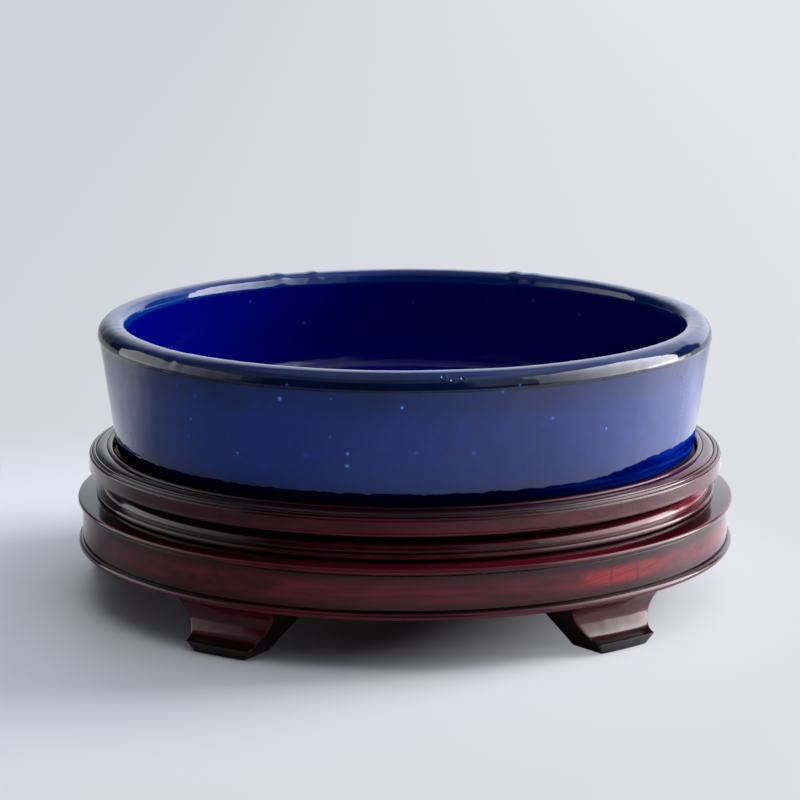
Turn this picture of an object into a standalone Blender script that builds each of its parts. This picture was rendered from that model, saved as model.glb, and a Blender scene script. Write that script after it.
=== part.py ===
"""A shallow round glazed bonsai pot, standing loose in a round hardwood stand on bracket feet.

Lengths are in metres and +Z is up. The origin is on the floor, under the centre of the pot. An angle of
zero faces -Y, and angles grow towards +X. Every radius of the stand is worked out from the pot's wall,
so that the lip always fits the pot that stands in it.
"""

import math

import bmesh
import bpy
from mathutils import Matrix

# Pot, fired in one piece
RIM_RADIUS = 0.125
POT_HEIGHT = 0.0542
POT_WALL = 0.0085
POT_FLOOR = 0.0075
RIM_OVERHANG = 0.0031  # how far the rolled rim stands in beyond the wall
WALL_LEAN = math.radians(8.2)
INNER_FILLET = 0.006
HEEL_ROUND = 0.003
FOOT_RING_HEIGHT = 0.003
FOOT_RING_WIDTH = 0.010
FOOT_RING_INSET = 0.006
DRAIN_RADIUS = 0.011
POT_STEPS = 72

# Gaps between pieces
GLUE_GAP = 0.0003
POT_CLEARANCE = 0.0012
PANEL_CLEARANCE = 0.0006
BATTEN_CLEARANCE = 0.0004

# The five bays of the stand: a foot stands under each joint of the base ring
FEET = 5
FIRST_FOOT = math.radians(39.6)
BAY = math.tau / FEET
ARC_STEPS = 14

# Upper frame: lip land, two beads and a fascia with a small bead under it, from the lip outwards
LIP_LAND = 0.0021
LIP_LAND_DROP = 0.0008
INNER_BEAD_WIDTH = 0.0049
INNER_BEAD_DROP = 0.0015
INNER_BEAD_RISE = 0.0008
OUTER_BEAD_WIDTH = 0.0027
OUTER_BEAD_DROP = 0.0013
OUTER_BEAD_RISE = 0.0006
UNDER_BEAD_HEIGHT = 0.0013
UNDER_BEAD_INSET = 0.0008
UNDER_BEAD_RISE = 0.0004
LEDGE = 0.0024
LEDGE_REACH = 0.0098
SEAT_DEPTH = 0.0035
FRAME_SPLINE_LENGTH = 0.014
FRAME_SPLINE_WIDTH = 0.005
FRAME_SPLINE_THICKNESS = 0.0018
FRAME_SPLINE_RAISE = 0.0018  # under side of the spline above the frame's under side

# Seat panel and its battens
BOARDS = 3
PANEL = 0.0035
LAP_WIDTH = 0.004
BATTEN_WIDTH = 0.014
BATTEN_HEIGHT = 0.008
BATTEN_SPACING = 0.088  # between the middles of the two battens
TENON_WIDTH = 0.009
TENON_HEIGHT = 0.0034
TENON_LENGTH = 0.004
TENON_TO_DOWEL = 0.001  # how far the waist dowels stand outside the tenons' ends

# Waist
WAIST_HEIGHT = 0.0093
RING_DEPTH = 0.0138  # from the lip in to the bore of the waist and base rings
NECK_INSET = 0.0017
NECK_HEIGHT = 0.0034
TORUS_REACH = 0.0064
TORUS_RISE = 0.0007
COLLAR_REACH = 0.0085
COLLAR_HEIGHT = 0.0021
COLLAR_RISE = 0.0004

# Base ring
BASE_HEIGHT = 0.0208
BASE_REACH = 0.0032  # band beyond the upper frame's fascia
WEATHER_DROP = 0.0013  # fall of the sloping top edge
EDGE_BEAD_HEIGHT = 0.0022
EDGE_GROOVE_HEIGHT = 0.0005
LOWER_BEAD_HEIGHT = 0.0025
LOWER_GROOVE_HEIGHT = 0.0010
BASE_BEAD_STAND = 0.0013  # outer edge of a bead beyond the band
BASE_BEAD_RISE = 0.0013
BAND_GROOVE = 0.0005
BASE_SPLINE_LENGTH = 0.020
BASE_SPLINE_WIDTH = 0.012
BASE_SPLINE_THICKNESS = 0.003
BASE_SPLINE_DROP = 0.006  # top of the spline below the base ring's top

# Feet
FOOT_HEIGHT = 0.0198
FOOT_DEPTH = 0.0155  # at the top
FOOT_SETBACK = 0.0014  # front of the foot's top, behind the band
FOOT_TOP_WIDTH = 0.0480
FOOT_TOE_WIDTH = 0.0290
FOOT_SOLE_WIDTH = 0.0236
FOOT_REAR_WIDTH = 0.0595  # at the top
COVE_DEPTH = 0.0059
TOE_HEIGHT = 0.0042
TOE_REACH = 0.0030  # toe beyond the front of the foot's top
SOLE_SETBACK = 0.0020  # front of the sole, behind the toe
COVE_STEPS = 7
FOOT_STEPS = 4

# Dowels
DOWEL_DIAMETER = 0.006
DOWEL_SIDES = 14
FOOT_DOWEL_LENGTH = 0.015
FOOT_DOWEL_SPACING = 0.020
WAIST_DOWEL_LENGTH = 0.011
WAIST_DOWEL_SHARE = 0.25  # of a bay past a foot, which is clear of every joint

# Modelling steps of round stretches
RIM_STEPS = 5
FILLET_STEPS = 4
ROUND_STEPS = 3
BEAD_STEPS = 4
TORUS_STEPS = 6
OVERCUT = 0.002  # how far a cutter runs past the face that it opens
WELD = 0.000003
ROUND_FROM = math.radians(32)

# Heights, from the floor up
base_bottom = FOOT_HEIGHT + GLUE_GAP
base_top = base_bottom + BASE_HEIGHT
waist_bottom = base_top + GLUE_GAP
waist_top = waist_bottom + WAIST_HEIGHT
frame_bottom = waist_top + GLUE_GAP
ledge_top = frame_bottom + LEDGE
panel_bottom = ledge_top + GLUE_GAP
panel_top = panel_bottom + PANEL
frame_top = panel_top + SEAT_DEPTH
pot_bottom = panel_top + GLUE_GAP
rim_top = pot_bottom + POT_HEIGHT

# Radii, from the pot's wall outwards
rim_roll = (POT_WALL + RIM_OVERHANG) / 2
roll_radius = RIM_RADIUS - rim_roll
roll_height = rim_top - rim_roll


def wall_radius(height, depth=0.0):
    """Radius of the leaning wall at a height, measured on the face this deep behind the outer one."""
    out_of_roll = (rim_roll - depth) / math.cos(WALL_LEAN)
    return roll_radius + out_of_roll - (roll_height - height) * math.tan(WALL_LEAN)


lip_radius = wall_radius(frame_top) + POT_CLEARANCE
panel_radius = lip_radius - PANEL_CLEARANCE
ledge_radius = lip_radius - LEDGE_REACH
ring_bore = lip_radius - RING_DEPTH
neck_radius = lip_radius - NECK_INSET
frame_radius = lip_radius + LIP_LAND + INNER_BEAD_WIDTH + OUTER_BEAD_WIDTH
band_radius = frame_radius + BASE_REACH
foot_front = band_radius - FOOT_SETBACK
foot_rear = foot_front - FOOT_DEPTH
foot_middle = (foot_front - COVE_DEPTH + foot_rear) / 2
tenon_reach = ring_bore + TENON_LENGTH
waist_dowel_radius = tenon_reach + TENON_TO_DOWEL + DOWEL_DIAMETER / 2


def clear_scene():
    for obj in list(bpy.data.objects):
        bpy.data.objects.remove(obj, do_unlink=True)


def make_material(name, colour, roughness, coat):
    material = bpy.data.materials.new(name)
    material.use_nodes = True
    shader = material.node_tree.nodes["Principled BSDF"]
    shader.inputs["Base Color"].default_value = (*colour, 1.0)
    shader.inputs["Roughness"].default_value = roughness
    shader.inputs["Metallic"].default_value = 0.0
    shader.inputs["Coat Weight"].default_value = coat
    return material


def bead(start, end, rise, steps):
    """Points of a round moulding from start to end, standing out by rise to the right of that way.

    One that stands out further than a half round has straight sides under its round.
    """
    chord = math.dist(start, end)
    along = ((end[0] - start[0]) / chord, (end[1] - start[1]) / chord)
    out = (along[1], -along[0])
    middle = ((start[0] + end[0]) / 2, (start[1] + end[1]) / 2)
    curved = min(rise, chord / 2)
    half = 2 * math.atan(2 * curved / chord)
    radius = chord / (2 * math.sin(half))
    round_steps = range(1, steps) if curved == rise else range(steps + 1)
    points = [start]
    for step in round_steps:
        turn = half * (2 * step / steps - 1)
        run = radius * math.sin(turn)
        stand = rise - radius * (1 - math.cos(turn))
        points.append((
            middle[0] + along[0] * run + out[0] * stand,
            middle[1] + along[1] * run + out[1] * stand,
        ))
    return points + [end]


def arc(centre, radius, first, last, steps):
    """Points on a circle from one angle to another, both ends included."""
    turns = [first + (last - first) * step / steps for step in range(steps + 1)]
    return [(centre[0] + radius * math.cos(t), centre[1] + radius * math.sin(t)) for t in turns]


def new_object(name, mesh, material, turn=0.0):
    """An object that shows a mesh, turned about the stand's axis."""
    obj = bpy.data.objects.new(name, mesh)
    if material is not None and not mesh.materials:
        mesh.materials.append(material)
    obj.rotation_euler.z = turn
    bpy.context.scene.collection.objects.link(obj)
    return obj


def finish_mesh(name, bm):
    """The mesh of a finished shape, faces outwards, smooth where it is round."""
    bmesh.ops.recalc_face_normals(bm, faces=bm.faces)
    mesh = bpy.data.meshes.new(name)
    bm.to_mesh(mesh)
    bm.free()
    mesh.shade_smooth()
    mesh.set_sharp_from_angle(angle=ROUND_FROM)
    return mesh


def arc_mesh(name, outline, bore):
    """One bay of a ring: the outline swept round the axis, a glue gap short of its neighbours at the bore."""
    sweep = BAY - GLUE_GAP / bore
    bm = bmesh.new()
    corners = [bm.verts.new((0.0, -radius, height)) for radius, height in outline]
    face = bm.faces.new(corners)
    bmesh.ops.rotate(bm, verts=bm.verts, cent=(0, 0, 0), matrix=Matrix.Rotation(-sweep / 2, 3, "Z"))
    swept = [face, *face.edges, *face.verts]
    bmesh.ops.spin(
        bm, geom=swept, cent=(0, 0, 0), axis=(0, 0, 1), dvec=(0, 0, 0), angle=sweep, steps=ARC_STEPS
    )
    return finish_mesh(name, bm)


def box_mesh(name, low, high):
    bm = bmesh.new()
    bmesh.ops.create_cube(bm, size=1.0)
    size = [b - a for a, b in zip(low, high)]
    middle = [(a + b) / 2 for a, b in zip(low, high)]
    bmesh.ops.transform(bm, verts=bm.verts, matrix=Matrix.LocRotScale(middle, None, size))
    return finish_mesh(name, bm)


def rod_mesh(name, radius, low, high, sides, place=(0.0, 0.0)):
    """An upright round rod between two heights."""
    bm = bmesh.new()
    bmesh.ops.create_cone(
        bm, cap_ends=True, segments=sides, radius1=radius, radius2=radius, depth=high - low
    )
    bmesh.ops.translate(bm, verts=bm.verts, vec=(*place, (low + high) / 2))
    return finish_mesh(name, bm)


def make_cutter(name, mesh, turn=0.0):
    cutter = new_object(name, mesh, None, turn)
    cutter.hide_render = True
    cutter.display_type = "WIRE"
    return cutter


def combine(obj, tool, operation="DIFFERENCE"):
    modifier = obj.modifiers.new(tool.name, "BOOLEAN")
    modifier.operation = operation
    modifier.solver = "EXACT"
    modifier.object = tool


def pot_outline():
    """Closed section of the pot: down the outside from the crest, under the foot and up the inside."""
    heel_height = pot_bottom + FOOT_RING_HEIGHT
    floor_height = heel_height + POT_FLOOR
    centre = (roll_radius, roll_height)
    crest = math.pi / 2
    inner_side = math.pi - WALL_LEAN + math.acos((POT_WALL - rim_roll) / rim_roll)
    outer_roll = arc(centre, rim_roll, crest, -WALL_LEAN, RIM_STEPS)

    # The heel's round touches the outer wall and the flat under side
    heel_centre_height = heel_height + HEEL_ROUND
    heel_centre = (wall_radius(heel_centre_height) - HEEL_ROUND / math.cos(WALL_LEAN), heel_centre_height)
    heel = arc(heel_centre, HEEL_ROUND, -WALL_LEAN, -crest, ROUND_STEPS)

    ring_outer = heel_centre[0] - FOOT_RING_INSET
    ring_inner = ring_outer - FOOT_RING_WIDTH
    foot = [
        (ring_outer, heel_height),
        (ring_outer, pot_bottom),
        (ring_inner, pot_bottom),
        (ring_inner, heel_height),
    ]
    drain = [(DRAIN_RADIUS, heel_height), (DRAIN_RADIUS, floor_height)]

    # The fillet inside touches the floor and the inner face of the wall
    fillet_height = floor_height + INNER_FILLET
    fillet_radius = wall_radius(fillet_height, POT_WALL) - INNER_FILLET / math.cos(WALL_LEAN)
    fillet = arc((fillet_radius, fillet_height), INNER_FILLET, -crest, -WALL_LEAN, FILLET_STEPS)
    inner_roll = arc(centre, rim_roll, inner_side, crest, 2 * RIM_STEPS)
    return outer_roll + heel + foot + drain + fillet + inner_roll[:-1]


def make_pot(glaze):
    bm = bmesh.new()
    corners = [bm.verts.new((radius, 0.0, height - pot_bottom)) for radius, height in pot_outline()]
    for corner, following in zip(corners, corners[1:] + corners[:1]):
        bm.edges.new((corner, following))
    mesh = bpy.data.meshes.new("pot_body")
    bm.to_mesh(mesh)
    bm.free()
    pot = new_object("pot_body", mesh, glaze)
    pot.location.z = pot_bottom
    screw = pot.modifiers.new("Throwing", "SCREW")
    screw.steps = POT_STEPS
    screw.render_steps = POT_STEPS
    screw.use_merge_vertices = True
    screw.merge_threshold = WELD
    screw.use_normal_calculate = True
    screw.use_smooth_shade = True
    return pot


def frame_outline():
    """Section of the upper frame, from the bore of its ledge outwards and back over the mouldings."""
    under_bead_top = frame_bottom + UNDER_BEAD_HEIGHT
    land_end = (lip_radius + LIP_LAND, frame_top - LIP_LAND_DROP)
    groove = (land_end[0] + INNER_BEAD_WIDTH, land_end[1] - INNER_BEAD_DROP)
    fascia_top = (frame_radius, groove[1] - OUTER_BEAD_DROP)
    under_bead = bead(
        (frame_radius - UNDER_BEAD_INSET, frame_bottom),
        (frame_radius, under_bead_top),
        UNDER_BEAD_RISE,
        BEAD_STEPS,
    )
    outer_bead = bead(fascia_top, groove, OUTER_BEAD_RISE, BEAD_STEPS)
    inner_bead = bead(groove, land_end, INNER_BEAD_RISE, BEAD_STEPS)
    lip = [(lip_radius, frame_top), (lip_radius, ledge_top), (ledge_radius, ledge_top)]
    return [(ledge_radius, frame_bottom)] + under_bead + outer_bead + inner_bead[1:] + lip


def waist_outline():
    """Section of the waist: a thin collar bead at the bottom, a half-round above it, then the neck."""
    collar_top = waist_bottom + COLLAR_HEIGHT
    neck_bottom = waist_top - NECK_HEIGHT
    collar = bead(
        (neck_radius + COLLAR_REACH, waist_bottom),
        (neck_radius + COLLAR_REACH, collar_top),
        COLLAR_RISE,
        BEAD_STEPS,
    )
    torus = bead(
        (neck_radius + TORUS_REACH, collar_top),
        (neck_radius, neck_bottom),
        (neck_bottom - collar_top) / 2 + TORUS_RISE,
        TORUS_STEPS,
    )
    neck = [(neck_radius, waist_top), (ring_bore, waist_top)]
    return [(ring_bore, waist_bottom)] + collar + torus + neck


def base_outline():
    """Section of the base ring: a bead below the band, a bead above it and a sloping top edge."""
    lower_bead_top = base_bottom + LOWER_BEAD_HEIGHT
    edge_bead_top = base_top - WEATHER_DROP
    edge_bead_bottom = edge_bead_top - EDGE_BEAD_HEIGHT
    groove_radius = band_radius - BAND_GROOVE
    bead_radius = band_radius + BASE_BEAD_STAND
    lower_bead = bead(
        (bead_radius, base_bottom), (groove_radius, lower_bead_top), BASE_BEAD_RISE, BEAD_STEPS
    )
    edge_bead = bead(
        (groove_radius, edge_bead_bottom), (bead_radius, edge_bead_top), BASE_BEAD_RISE, BEAD_STEPS
    )
    band = [
        (band_radius, lower_bead_top + LOWER_GROOVE_HEIGHT),
        (band_radius, edge_bead_bottom - EDGE_GROOVE_HEIGHT),
    ]
    top = [(neck_radius + COLLAR_REACH, base_top), (ring_bore, base_top)]
    return [(ring_bore, base_bottom)] + lower_bead + band + edge_bead + top


def foot_sections():
    """(height, front radius, half width in front, half width behind) of the foot, from the sole up."""
    toe = foot_front + TOE_REACH
    sections = [(0.0, toe - SOLE_SETBACK, FOOT_SOLE_WIDTH / 2, FOOT_SOLE_WIDTH / 2)]
    cove = bead((foot_front, FOOT_HEIGHT), (toe, TOE_HEIGHT), COVE_DEPTH, COVE_STEPS)
    for front, height in reversed(cove):
        above_toe = (height - TOE_HEIGHT) / (FOOT_HEIGHT - TOE_HEIGHT)
        front_width = FOOT_TOE_WIDTH + (FOOT_TOP_WIDTH - FOOT_TOE_WIDTH) * above_toe
        rear_width = FOOT_SOLE_WIDTH + (FOOT_REAR_WIDTH - FOOT_SOLE_WIDTH) * height / FOOT_HEIGHT
        sections.append((height, front, front_width / 2, rear_width / 2))
    return sections


def foot_mesh():
    """A bracket foot: sections across the foot, each a band between two radii, bridged from the sole up."""
    bm = bmesh.new()
    rings = []
    for height, front, front_half, rear_half in foot_sections():
        shares = [2 * step / FOOT_STEPS - 1 for step in range(FOOT_STEPS + 1)]
        places = [(front, share * front_half / front) for share in shares]
        places += [(foot_rear, -share * rear_half / foot_rear) for share in shares]
        rings.append([bm.verts.new((r * math.sin(t), -r * math.cos(t), height)) for r, t in places])
    for lower, upper in zip(rings, rings[1:]):
        for corner in range(len(lower)):
            after = (corner + 1) % len(lower)
            bm.faces.new((lower[corner], lower[after], upper[after], upper[corner]))
    bm.faces.new(rings[0])
    bm.faces.new(rings[-1])
    return finish_mesh("foot", bm)


def make_ring(name, outline, bore, material, first_joint):
    """The arcs of one ring. The first arc starts at first_joint."""
    mesh = arc_mesh(name, outline, bore)
    turns = [first_joint + BAY * (bay + 0.5) for bay in range(FEET)]
    return [new_object(f"{name}_{bay + 1}", mesh, material, turn) for bay, turn in enumerate(turns)]


def make_splines(name, arcs, material, size, middle_radius, low, first_joint):
    """A flat spline across each joint of a ring, and its slot in the two arcs that meet there."""
    length, width, thickness = size
    gap = GLUE_GAP
    low_corner = (-length / 2, -middle_radius - width / 2, low)
    high_corner = (length / 2, -middle_radius + width / 2, low + thickness)
    spline = box_mesh(name, low_corner, high_corner)
    slot = box_mesh(f"{name}_slot", [v - gap for v in low_corner], [v + gap for v in high_corner])
    for joint in range(FEET):
        turn = first_joint + BAY * joint
        new_object(f"{name}_{joint + 1}", spline, material, turn)
        cutter = make_cutter(f"{name}_slot_{joint + 1}", slot, turn)
        combine(arcs[joint - 1], cutter)
        combine(arcs[joint], cutter)


def make_dowel(name, material, low, length, place, turn, owners):
    """An upright dowel, and its hole in each piece that it holds together."""
    radius = DOWEL_DIAMETER / 2
    gap = GLUE_GAP
    dowel = rod_mesh(name, radius, low, low + length, DOWEL_SIDES, place)
    new_object(name, dowel, material, turn)
    hole = rod_mesh(f"{name}_hole", radius + gap, low - gap, low + length + gap, DOWEL_SIDES, place)
    cutter = make_cutter(f"{name}_hole", hole, turn)
    for owner in owners:
        combine(owner, cutter)


def make_feet(lacquer, bare_wood, base_arcs):
    """A foot under each joint of the base ring, with a dowel into the arc on either side of the joint."""
    mesh = foot_mesh()
    low = base_bottom - FOOT_DOWEL_LENGTH / 2
    for number in range(FEET):
        turn = FIRST_FOOT + BAY * number
        foot = new_object(f"foot_{number + 1}", mesh, lacquer, turn)
        sides = (("left", -1, base_arcs[number - 1]), ("right", 1, base_arcs[number]))
        for side, way, base_arc in sides:
            place = (way * FOOT_DOWEL_SPACING / 2, -foot_middle)
            name = f"foot_dowel_{number + 1}_{side}"
            make_dowel(name, bare_wood, low, FOOT_DOWEL_LENGTH, place, turn, (foot, base_arc))


def make_waist_dowels(bare_wood, waist_arcs, base_arcs):
    """A dowel in each waist arc, down into the base ring."""
    low = base_top - WAIST_DOWEL_LENGTH / 2
    for number in range(FEET):
        turn = FIRST_FOOT + BAY * (number + WAIST_DOWEL_SHARE)
        owners = (waist_arcs[number - 1], base_arcs[number])
        place = (0.0, -waist_dowel_radius)
        make_dowel(
            f"waist_dowel_{number + 1}", bare_wood, low, WAIST_DOWEL_LENGTH, place, turn, owners
        )


def board_mesh(name, number):
    """A strip of the seat panel with half-lapped edges, long enough to be cut to the panel's round."""
    width = 2 * panel_radius / BOARDS
    left = -panel_radius + width * number
    right = left + width
    middle = (panel_bottom + panel_top) / 2
    gap = GLUE_GAP / 2
    lap = LAP_WIDTH / 2
    first = number == 0
    last = number == BOARDS - 1
    left_high = left - OVERCUT if first else left - lap + gap
    left_low = left - OVERCUT if first else left + lap + gap
    right_high = right + OVERCUT if last else right - lap - gap
    right_low = right + OVERCUT if last else right + lap - gap
    outline = [(left_low, panel_bottom), (right_low, panel_bottom), (right_low, middle - gap)]
    outline += [(right_high, middle - gap), (right_high, panel_top), (left_high, panel_top)]
    outline += [(left_high, middle + gap), (left_low, middle + gap)]
    bm = bmesh.new()
    face = bm.faces.new([bm.verts.new((x, -panel_radius - OVERCUT, z)) for x, z in outline])
    grown = bmesh.ops.extrude_face_region(bm, geom=[face])
    moved = [item for item in grown["geom"] if isinstance(item, bmesh.types.BMVert)]
    bmesh.ops.translate(bm, verts=moved, vec=(0, 2 * (panel_radius + OVERCUT), 0))
    bmesh.ops.dissolve_degenerate(bm, dist=WELD, edges=bm.edges)
    return finish_mesh(name, bm)


def make_panel(material):
    """The seat panel: boards side by side across the battens, half-lapped and cut to one round."""
    sides = POT_STEPS
    across = FIRST_FOOT + math.pi / 2
    disc = rod_mesh("panel_round", panel_radius, panel_bottom - OVERCUT, panel_top + OVERCUT, sides)
    round_tool = make_cutter("panel_round", disc, across)
    for number in range(BOARDS):
        name = f"seat_board_{number + 1}"
        board = new_object(name, board_mesh(name, number), material, across)
        combine(board, round_tool, "INTERSECT")


def make_battens(material, waist_arcs):
    """Bars under the boards. Their ends are scribed to the waist's bore and tenoned into it."""
    bore = ring_bore - BATTEN_CLEARANCE
    top = panel_bottom - GLUE_GAP
    bottom = top - BATTEN_HEIGHT
    tenon_bottom = bottom + GLUE_GAP
    tenon_top = tenon_bottom + TENON_HEIGHT
    gap = GLUE_GAP
    sides = POT_STEPS
    body_round = make_cutter(
        "batten_round", rod_mesh("batten_round", bore, bottom - OVERCUT, top + OVERCUT, sides), FIRST_FOOT
    )
    tenon_round = make_cutter(
        "tenon_round",
        rod_mesh("tenon_round", tenon_reach - gap, bottom - OVERCUT, top + OVERCUT, sides),
        FIRST_FOOT,
    )
    mortise_round = make_cutter(
        "mortise_round", rod_mesh("mortise_round", tenon_reach, bottom, top, sides), FIRST_FOOT
    )
    for number, way in enumerate((-1, 1)):
        name = f"seat_batten_{number + 1}"
        middle = way * BATTEN_SPACING / 2
        low = (middle - BATTEN_WIDTH / 2, -tenon_reach, bottom)
        high = (middle + BATTEN_WIDTH / 2, tenon_reach, top)
        batten = new_object(name, box_mesh(name, low, high), material, FIRST_FOOT)
        combine(batten, body_round, "INTERSECT")
        tenon_low = (middle - TENON_WIDTH / 2, -tenon_reach - OVERCUT, tenon_bottom)
        tenon_high = (middle + TENON_WIDTH / 2, tenon_reach + OVERCUT, tenon_top)
        tenon = make_cutter(f"{name}_tenon", box_mesh(f"{name}_tenon", tenon_low, tenon_high), FIRST_FOOT)
        combine(tenon, tenon_round, "INTERSECT")
        combine(batten, tenon, "UNION")
        mortise_mesh = box_mesh(
            f"{name}_mortise", [v - gap for v in tenon_low], [v + gap for v in tenon_high]
        )
        mortise = make_cutter(f"{name}_mortise", mortise_mesh, FIRST_FOOT)
        combine(mortise, mortise_round, "INTERSECT")
        for waist_arc in waist_arcs:
            combine(waist_arc, mortise)


def main():
    clear_scene()
    glaze = make_material("cobalt_glaze", (0.004, 0.010, 0.150), 0.12, 1.0)
    lacquer = make_material("lacquered_hardwood", (0.060, 0.008, 0.010), 0.25, 0.6)
    bare_wood = make_material("bare_hardwood", (0.170, 0.060, 0.035), 0.60, 0.0)

    make_pot(glaze)
    half_bay = BAY / 2
    frame_arcs = make_ring("upper_frame", frame_outline(), ledge_radius, lacquer, FIRST_FOOT)
    waist_arcs = make_ring("waist", waist_outline(), ring_bore, lacquer, FIRST_FOOT + half_bay)
    base_arcs = make_ring("base", base_outline(), ring_bore, lacquer, FIRST_FOOT)

    frame_spline = (FRAME_SPLINE_LENGTH, FRAME_SPLINE_WIDTH, FRAME_SPLINE_THICKNESS)
    frame_spline_radius = (lip_radius + frame_radius) / 2
    frame_spline_low = frame_bottom + FRAME_SPLINE_RAISE
    make_splines(
        "frame_spline",
        frame_arcs,
        bare_wood,
        frame_spline,
        frame_spline_radius,
        frame_spline_low,
        FIRST_FOOT,
    )
    base_spline = (BASE_SPLINE_LENGTH, BASE_SPLINE_WIDTH, BASE_SPLINE_THICKNESS)
    base_spline_low = base_top - BASE_SPLINE_DROP - BASE_SPLINE_THICKNESS
    make_splines(
        "base_spline", base_arcs, bare_wood, base_spline, foot_middle, base_spline_low, FIRST_FOOT
    )

    make_feet(lacquer, bare_wood, base_arcs)
    make_waist_dowels(bare_wood, waist_arcs, base_arcs)
    make_panel(bare_wood)
    make_battens(bare_wood, waist_arcs)


main()
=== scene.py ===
# %% [markdown]
# # A glazed bonsai pot on its hardwood stand
# The part comes as a frame of solids: the right sizes and joints, but cut into flat facets. This lesson
# dresses that frame. Round pieces are worked out again as smooth surfaces, and every surface gets a
# finish that is made from patterns, with no pictures. Lengths are in metres, and +Z is up.

# %% Load the frame
import math
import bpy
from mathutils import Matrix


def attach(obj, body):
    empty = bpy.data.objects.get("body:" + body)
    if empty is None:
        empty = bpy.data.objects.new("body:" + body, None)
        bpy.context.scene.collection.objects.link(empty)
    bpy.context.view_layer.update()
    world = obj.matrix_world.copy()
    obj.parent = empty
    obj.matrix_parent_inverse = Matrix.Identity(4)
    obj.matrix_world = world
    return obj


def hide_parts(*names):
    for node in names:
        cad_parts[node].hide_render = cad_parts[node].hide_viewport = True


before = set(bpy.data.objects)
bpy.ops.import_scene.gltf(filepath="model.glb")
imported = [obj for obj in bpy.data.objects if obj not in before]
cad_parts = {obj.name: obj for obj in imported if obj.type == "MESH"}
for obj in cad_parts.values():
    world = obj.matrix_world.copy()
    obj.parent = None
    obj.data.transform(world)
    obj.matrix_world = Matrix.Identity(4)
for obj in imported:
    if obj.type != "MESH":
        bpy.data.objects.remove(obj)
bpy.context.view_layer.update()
from types import SimpleNamespace

import bpy
import numpy as np

# %% [markdown]
# ## Shapes as arrays
# A turned moulding is a profile carried round an axis. It could be drawn by hand and spun in the
# viewport, but a profile that is worked out as an array can be measured and changed. Real edges are
# never sharp, so each outline is softened first: every point becomes the weighted mean of its
# neighbours, as sanding and a coat of lacquer would leave it.

# %% Soften an outline
BELL_POINTS = 5
BELL_WIDTHS = 4


def bell_curve(width):
    """Weights of a bell curve this many points wide, four widths to each side. They add up to 1."""
    reach = int(BELL_WIDTHS * width)
    bell = np.exp(-0.5 * (np.arange(-reach, reach + 1) / width) ** 2)
    return bell / bell.sum()


def lengths_along(line):
    """Distance of each point from the first one, measured along the line."""
    return np.concatenate([[0.0], np.cumsum(np.linalg.norm(np.diff(line, axis=0), axis=1))])


def read_line(line, at, places):
    """Points of a line at these places, where at gives the place of each of its own points."""
    return np.stack([np.interp(places, at, line[:, axis]) for axis in (0, 1)], axis=1)


def soften(outline, softness, count, closed=True):
    """Round the corners of an outline of (radius, height) points.

    The outline is cut into equal short steps, and each point becomes the mean of its neighbours under
    a bell curve as wide as softness. The result is spread over count points, close where the line
    turns and far apart where it runs straight.
    """
    corners = np.asarray(outline, float)
    line = np.vstack([corners, corners[:1]]) if closed else corners
    run = lengths_along(line)
    steps = int(BELL_POINTS * run[-1] / softness)
    dense = read_line(line, run, np.linspace(0.0, run[-1], steps, endpoint=not closed))
    bell = bell_curve(BELL_POINTS)
    reach = len(bell) // 2
    how = {"mode": "wrap"} if closed else {"mode": "reflect", "reflect_type": "odd"}
    padded = np.pad(dense, ((reach, reach), (0, 0)), **how)
    smooth = np.stack([np.convolve(padded[:, axis], bell, "valid") for axis in (0, 1)], axis=1)
    line = np.vstack([smooth, smooth[:1]]) if closed else smooth
    pieces = np.diff(line, axis=0)
    length = np.linalg.norm(pieces, axis=1)
    turning = np.abs(np.gradient(np.unwrap(np.arctan2(pieces[:, 1], pieces[:, 0]))))
    weight = length / length.sum() + turning / turning.sum()
    spread = np.concatenate([[0.0], np.cumsum(weight)])
    return read_line(line, spread, np.linspace(0.0, spread[-1], count, endpoint=not closed))


square = soften([(0, 0), (1, 0), (1, 1), (0, 1)], softness=0.05, count=80)
print("a softened square loses", round(float(np.linalg.norm(square - 1, axis=1).min()), 3), "at its corner")

# %% [markdown]
# Mouldings are made of a few rounds: plain arcs, the squared shoulder of the rim, and beads. A bead is
# given by its two ends and by how far it stands out, which is what a turner measures with a rule.


# %% Rounds of a moulding
def arc(centre, radius, first, last, steps):
    """Points on a circle from one angle to another, both in degrees from the radius axis."""
    turn = np.radians(np.linspace(first, last, steps))
    return np.stack([centre[0] + radius * np.cos(turn), centre[1] + radius * np.sin(turn)], axis=1)


def squared(centre, across, high, power, steps):
    """From the top of a squared-off ellipse to its inner side: (x/across)^power + (y/high)^power = 1."""
    turn = np.radians(np.linspace(90, 180, steps))
    left = across * np.abs(np.cos(turn)) ** (2 / power)
    up = high * np.abs(np.sin(turn)) ** (2 / power)
    return np.stack([centre[0] - left, centre[1] + up], axis=1)


def bead(start, end, rise, steps=14):
    """A round moulding from start to end: the circle through both that stands out by rise to the right."""
    start, end = np.asarray(start, float), np.asarray(end, float)
    chord = np.linalg.norm(end - start)
    along = (end - start) / chord
    out = np.array([along[1], -along[0]])
    half = 2 * math.atan(2 * rise / chord)
    radius = chord / (2 * math.sin(half))
    turn = np.linspace(-half, half, steps)[:, None]
    middle = (start + end) / 2
    return middle + along * radius * np.sin(turn) + out * (rise - radius * (1 - np.cos(turn)))


print("a bead 2 high that stands out 0.5 reaches", bead((0, 0), (0, 2), 0.5, 15)[:, 0].max().round(3))

# %% [markdown]
# A grid of points becomes a mesh with one quad between each four neighbours. The indices are worked
# out for the whole grid at once. A ring closes both ways; an arc is closed by a flat cap at each end.

# %% Put a grid of points into a mesh
SHARP_FROM = 50


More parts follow.
